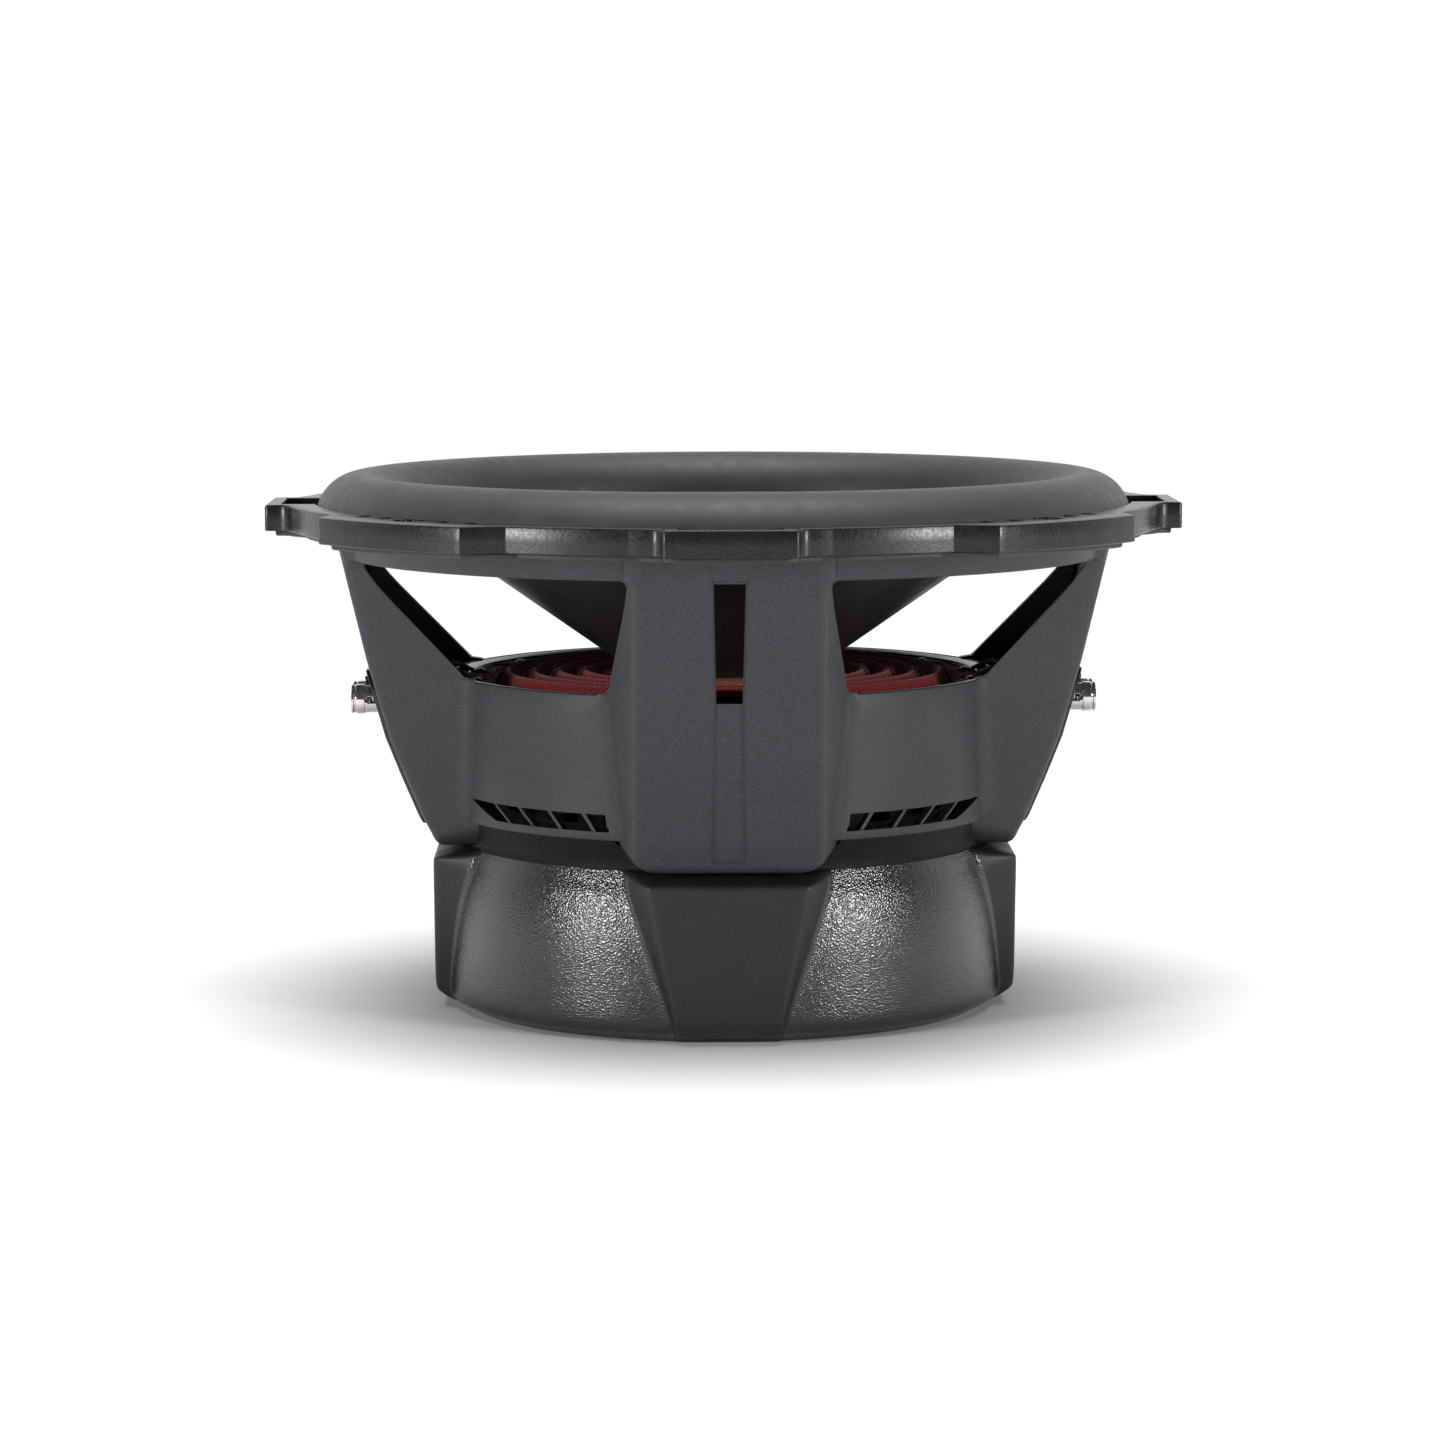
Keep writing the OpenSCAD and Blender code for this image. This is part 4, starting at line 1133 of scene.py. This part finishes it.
def boot_form():
    """Boot as a closed section turned round the axis, whose side changes from bulge to pad.

    Eighth of a turn from the middle of a pad: points on the pad's flat face, then a
    slanted strip, then the round bulge. It is mirrored and turned, and the creases are
    softened by averaging neighbours along each row.
    """
    bulge, pad = np.array(BULGE), np.array(PAD_SIDE)
    fine = np.interp(np.arange(0, len(bulge) - 0.99, 0.34), np.arange(len(bulge)), np.arange(len(bulge)))
    rows = np.arange(len(bulge))
    bulge = np.stack([np.interp(fine, rows, bulge[:, k]) for k in (0, 1)], 1)
    pad = np.stack([np.interp(fine, rows, pad[:, k]) for k in (0, 1)], 1)
    z = pad[:, 1]
    face_half = np.interp(z, [3.0, 54.8], [17.2, 28.3])[:, None]
    strip_half = np.interp(z, [3.0, 54.8], [18.6, 34.8])[:, None]
    a = np.linspace(0, 1, 27)[None, :-1]
    across = face_half * a
    round_x = np.sqrt(pad[:, :1] ** 2 - across ** 2)
    collar = np.clip((pad[:, 1:] - 56.0) / 2.2, 0.0, 1.0)
    on_face = np.stack([pad[:, :1] + (round_x - pad[:, :1]) * collar, across, pad[:, 1:] + 0 * a], -1)
    strip_end = np.arcsin(strip_half / bulge[:, :1])
    c = np.linspace(0, 1, 34)[None, :]
    angle = strip_end + (math.pi / 4 - strip_end) * c
    on_bulge = np.stack([bulge[:, :1] * np.cos(angle), bulge[:, :1] * np.sin(angle),
                         bulge[:, 1:] + 0 * angle], -1)
    b = np.linspace(0, 1, 9)[None, 1:-1, None]
    last_x = pad[:, 0] + (np.sqrt(pad[:, 0] ** 2 - face_half[:, 0] ** 2) - pad[:, 0]) * collar[:, 0]
    last_face = np.stack([last_x, face_half[:, 0], pad[:, 1]], -1)[:, None]
    on_strip = last_face + (on_bulge[:, :1] - last_face) * b
    eighth = np.concatenate([on_face, last_face, on_strip, on_bulge], 1)
    mirror = eighth[:, -2:0:-1][..., [1, 0, 2]]
    quarter = np.concatenate([eighth, mirror], 1)
    whole = np.concatenate([quarter, quarter[..., [1, 0, 2]] * (-1, 1, 1), quarter * (-1, -1, 1),
                            quarter[..., [1, 0, 2]] * (1, -1, 1)], 1)
    for _ in range(3):
        whole = 0.25 * np.roll(whole, 1, 1) + 0.5 * whole + 0.25 * np.roll(whole, -1, 1)
    for _ in range(2):
        whole[1:-1] = 0.25 * whole[:-2] + 0.5 * whole[1:-1] + 0.25 * whole[2:]
    turned = np.arctan2(whole[0, :, 1], whole[0, :, 0])
    inside = np.array(BOOT_INSIDE)
    hidden = np.stack([inside[:, :1] * np.cos(turned), inside[:, :1] * np.sin(turned),
                       inside[:, 1:] + 0 * turned], -1)
    grid = np.concatenate([whole, hidden])
    rows, cols = grid.shape[:2]
    radius = np.linalg.norm(grid[..., :2], axis=-1)
    side = np.arctan2(grid[..., 1], grid[..., 0])
    lateral = radius * np.abs(np.sin(side - np.round(side / (math.pi / 2)) * math.pi / 2))
    seat = np.interp(lateral, np.array(FOOT_Y) + 0.1, np.array(FOOT_Z) - 0.15)
    over = (grid[..., 2] > seat) & (radius > 70.0)
    at_seat = np.interp(seat, [57.0, 60.0, 62.0, 65.2, 68.5], [93.4, 92.6, 92.7, 93.6, 95.2])
    shrink = np.where(over, np.minimum(radius, at_seat) / np.maximum(radius, 1e-6), 1.0)
    grid[..., 2] = np.where(over, seat, grid[..., 2])
    grid[..., :2] *= shrink[..., None]
    on_pad = np.zeros(cols, int)
    eighth_pad = np.zeros(eighth.shape[1], int)
    eighth_pad[:on_face.shape[1] + on_strip.shape[1]] = 1
    cell = np.concatenate([eighth_pad[:-1], eighth_pad[:-1][::-1]] * 4)
    on_pad[:len(cell)] = cell
    finish = np.broadcast_to(on_pad[None, :], (rows, cols)).copy()
    top_row = int(np.argmax(whole[:, 0, 2] > 57.5))
    finish[top_row:] = 2
    return Form().add(grid, quads(rows, cols, True, True), finish.ravel())


make_piece("magnet_boot_rubber", boot_form(), [BOOT, PAD, COLLAR], "frame",
           ["magnet_boot"], sharp=60)

# ---------------------------------------------------------------- terminals

TERM_Z = 109.6
# Still end and moving end of a terminal's spring, from the axis, in metres
SPRING_FOOT = 0.118
SPRING_HEAD = 0.1312
TERM_Y = 6.2
TERM_REACH = 133.0
PLATE_LOW, PLATE_HIGH = 66.0, 121.0


def along_x(grid, side, row):
    """Turns a form made round +Z into its terminal's place, pointing out from the axis."""
    x, y, z = grid[..., 2], grid[..., 1], grid[..., 0]
    return np.stack([x * side, row * TERM_Y + y, TERM_Z + z], -1)


def sleeve_form(side, row):
    """Sleeve with an oblong slot through both its sides, slimmed a little at its outer end."""
    z = np.array([116.0, 121.0, 123.0, 125.0, 127.1, 127.8, 128.3, 128.7, 129.2])
    around = np.array([-14.6, -10, -5, 0, 5, 10, 14.6, 26, 38, 51, 64, 77, 90, 103, 116, 129, 142, 154],
                      float)
    angle = np.radians(np.concatenate([around + 90.0, around + 270.0]))
    slim = np.interp(z, [128.7, 129.2], [0.0, 0.25])[:, None]
    outer = np.stack([(4.95 - slim) * np.cos(angle), (4.95 - slim) * np.sin(angle),
                      z[:, None] + 0 * angle], -1)
    inner = np.stack([4.1 * np.cos(angle) + 0 * z[:, None], 4.1 * np.sin(angle) + 0 * z[:, None],
                      z[:, None] + 0 * angle], -1)
    keep = np.ones((len(z) - 1, len(angle)), bool)
    for rows, first, last in (([1, 2, 3], 0, 6), ([4], 1, 5), ([5], 2, 4)):
        columns = np.concatenate([np.arange(first, last), 18 + np.arange(first, last)])
        keep[np.ix_(rows, columns)] = False
    return Form().shell(along_x(outer, side, row), along_x(inner, side, row), keep, True)


def cap_form(side, row):
    """Push cap: a short skirt, a groove and a flat end with a broken edge."""
    profile = rounded([(5.03, 128.2), (5.35, 128.2), (5.35, 131.35), (4.95, 131.5), (4.95, 131.95),
                       (5.3, 132.1), (5.3, 133.0), (0, 133.0), (0, 131.4), (5.03, 131.4)],
                      [0.1, 0.25, 0.2, 0.12, 0.12, 0.15, 0.4, 0, 0, 0.2], 3)
    grid = spun(profile, 48)
    return Form().add(along_x(grid, side, row), quads(*grid.shape[:2], True, True))


def spring_form(side, row):
    """Coil spring: a round wire on a helix, with its end turns closed up."""
    t = np.linspace(0, 1, 260)
    turns = TAU * 6.5 * t
    rise = 118.2 + (TERM_REACH - 2.1 - 118.2) * (t - 0.06 * np.sin(TAU * 2 * t) / 2)
    path = np.stack([3.1 * np.cos(turns), 3.1 * np.sin(turns), rise], -1)
    form = Form()
    tube_form(form, path, 0.36, 8)
    form.points[-1] = along_x(form.points[-1], side, row)
    return form


def plate_form(side):
    """Terminal plate: a sheet that follows the spoke's face, with round corners."""
    z = np.concatenate([PLATE_LOW + np.array([0, 0.25, 0.9, 1.9, 3.2]), [72, 76, 82.5, 90, 97, 104, 112],
                        PLATE_HIGH - np.array([3.2, 1.9, 0.9, 0.25, 0])])
    gap = np.minimum(np.minimum(z - PLATE_LOW, PLATE_HIGH - z), 3.2)
    half = 19.0 - 3.2 + np.sqrt(np.maximum(3.2 ** 2 - (3.2 - gap) ** 2, 0.0))
    y = half[:, None] * np.linspace(-1, 1, 13)[None, :]

    def at(lift):
        x = np.broadcast_to((spoke_face(z) + lift)[:, None], y.shape) * side
        return np.stack([x, y, np.broadcast_to(z[:, None], y.shape)], -1)

    return Form().shell(at(2.35), at(0.15), np.ones((len(z) - 1, 12), bool), False)


for side, sx in (("left", -1), ("right", 1)):
    make_piece(f"plate_{side}", plate_form(sx), [PLATE_BLACK], "frame",
               [f"terminal_plate_{side}"], bevel=0.8)
    for end, sy in (("front", -1), ("rear", 1)):
        tag = f"{side}_{end}"
        make_piece(f"barrel_{tag}", sleeve_form(sx, sy), [NICKEL], "frame", [f"sleeve_{tag}"],
                   bevel=0.18)
        make_piece(f"button_{tag}", cap_form(sx, sy), [NICKEL], f"push_cap_{tag}",
                   [f"push_cap_{tag}"])
        coil = make_piece(f"coil_{tag}", spring_form(sx, sy), [SPRING], None,
                          [f"spring_{tag}"], sharp=60)
        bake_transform(coil, "frame", f"push_cap_{tag}", start=(sx * SPRING_FOOT, 0, TERM_Z * MM),
                 end=(sx * SPRING_HEAD, 0, TERM_Z * MM))

# ---------------------------------------------------------------- studio


def make_floor():
    """Wide pale floor under the driver."""
    mesh = bpy.data.meshes.new("studio_floor")
    far = 60.0
    mesh.from_pydata([(-far, -far, 0), (far, -far, 0), (far, far, 0), (-far, far, 0)], [], [(0, 1, 2, 3)])
    pale = Finish("floor_white", (0.9, 0.9, 0.9), 0.9, specular=0.0)
    mesh.materials.append(pale.material)
    made = bpy.data.objects.new("studio_floor", mesh)
    bpy.context.scene.collection.objects.link(made)
    made.location.z = -0.0002


def softbox(name, place, target, size, power):
    """Area light that looks at a target point."""
    data = bpy.data.lights.new(name, "AREA")
    data.shape = "RECTANGLE"
    data.size, data.size_y = size
    data.energy = power
    made = bpy.data.objects.new(name, data)
    bpy.context.scene.collection.objects.link(made)
    place, target = np.array(place, float), np.array(target, float)
    made.location = place
    back = place - target
    pan = math.atan2(back[0], -back[1])
    tilt = math.atan2(math.hypot(back[0], back[1]), back[2])
    made.rotation_euler = (tilt, 0.0, pan)
    made.visible_camera = False


def sky_light(power, spread):
    """Broad light straight from above, which gives the soft shadow round the base."""
    data = bpy.data.lights.new("overhead_diffuser", "SUN")
    data.energy = power
    data.angle = math.radians(spread)
    made = bpy.data.objects.new("overhead_diffuser", data)
    bpy.context.scene.collection.objects.link(made)


def white_world(backdrop, dark):
    """White studio: full white to the camera, and for light a bright wall behind a dark room.

    The light falls from backdrop to dark between the directions behind the driver and in
    front of it, and again from the horizon up to the ceiling. Diffuse light takes 0.15 of it.
    """
    world = bpy.data.worlds.new("white_studio")
    world.use_nodes = True
    tree = world.node_tree
    back = tree.nodes["Background"]
    back.inputs["Color"].default_value = (1, 1, 1, 1)
    way = tree.nodes.new("ShaderNodeSeparateXYZ")
    tree.links.new(tree.nodes.new("ShaderNodeTexCoord").outputs["Generated"], way.inputs[0])

    def ramp(value, low, high, to_low, to_high):
        made = tree.nodes.new("ShaderNodeMapRange")
        made.interpolation_type = "SMOOTHSTEP"
        for name, number in (("From Min", low), ("From Max", high)):
            made.inputs[name].default_value = number
        for name, number in (("To Min", to_low), ("To Max", to_high)):
            if isinstance(number, bpy.types.NodeSocket):
                tree.links.new(number, made.inputs[name])
            else:
                made.inputs[name].default_value = number
        tree.links.new(value, made.inputs["Value"])
        return made.outputs[0]

    behind = ramp(way.outputs["Y"], -0.25, 0.45, dark, backdrop)
    level = ramp(way.outputs["Z"], 0.45, 0.9, behind, dark)
    path = tree.nodes.new("ShaderNodeLightPath")
    soft = tree.nodes.new("ShaderNodeMath")
    soft.operation = "MULTIPLY"
    soft.inputs[1].default_value = 0.15
    tree.links.new(level, soft.inputs[0])
    level = ramp(path.outputs["Is Diffuse Ray"], 0.0, 1.0, level, soft.outputs[0])
    level = ramp(path.outputs["Is Camera Ray"], 0.0, 1.0, level, 1.05)
    tree.links.new(level, back.inputs["Strength"])
    bpy.context.scene.world = world


make_floor()
sky_light(3.4, 50.0)
softbox("left_softbox", (-1.5, -1.1, 0.44), (0, 0, 0.06), (0.36, 0.44), 17.0)
softbox("right_softbox", (1.5, -1.1, 0.44), (0, 0, 0.06), (0.36, 0.44), 17.0)
white_world(1.0, 0.07)
bpy.context.scene.view_settings.view_transform = "Standard"
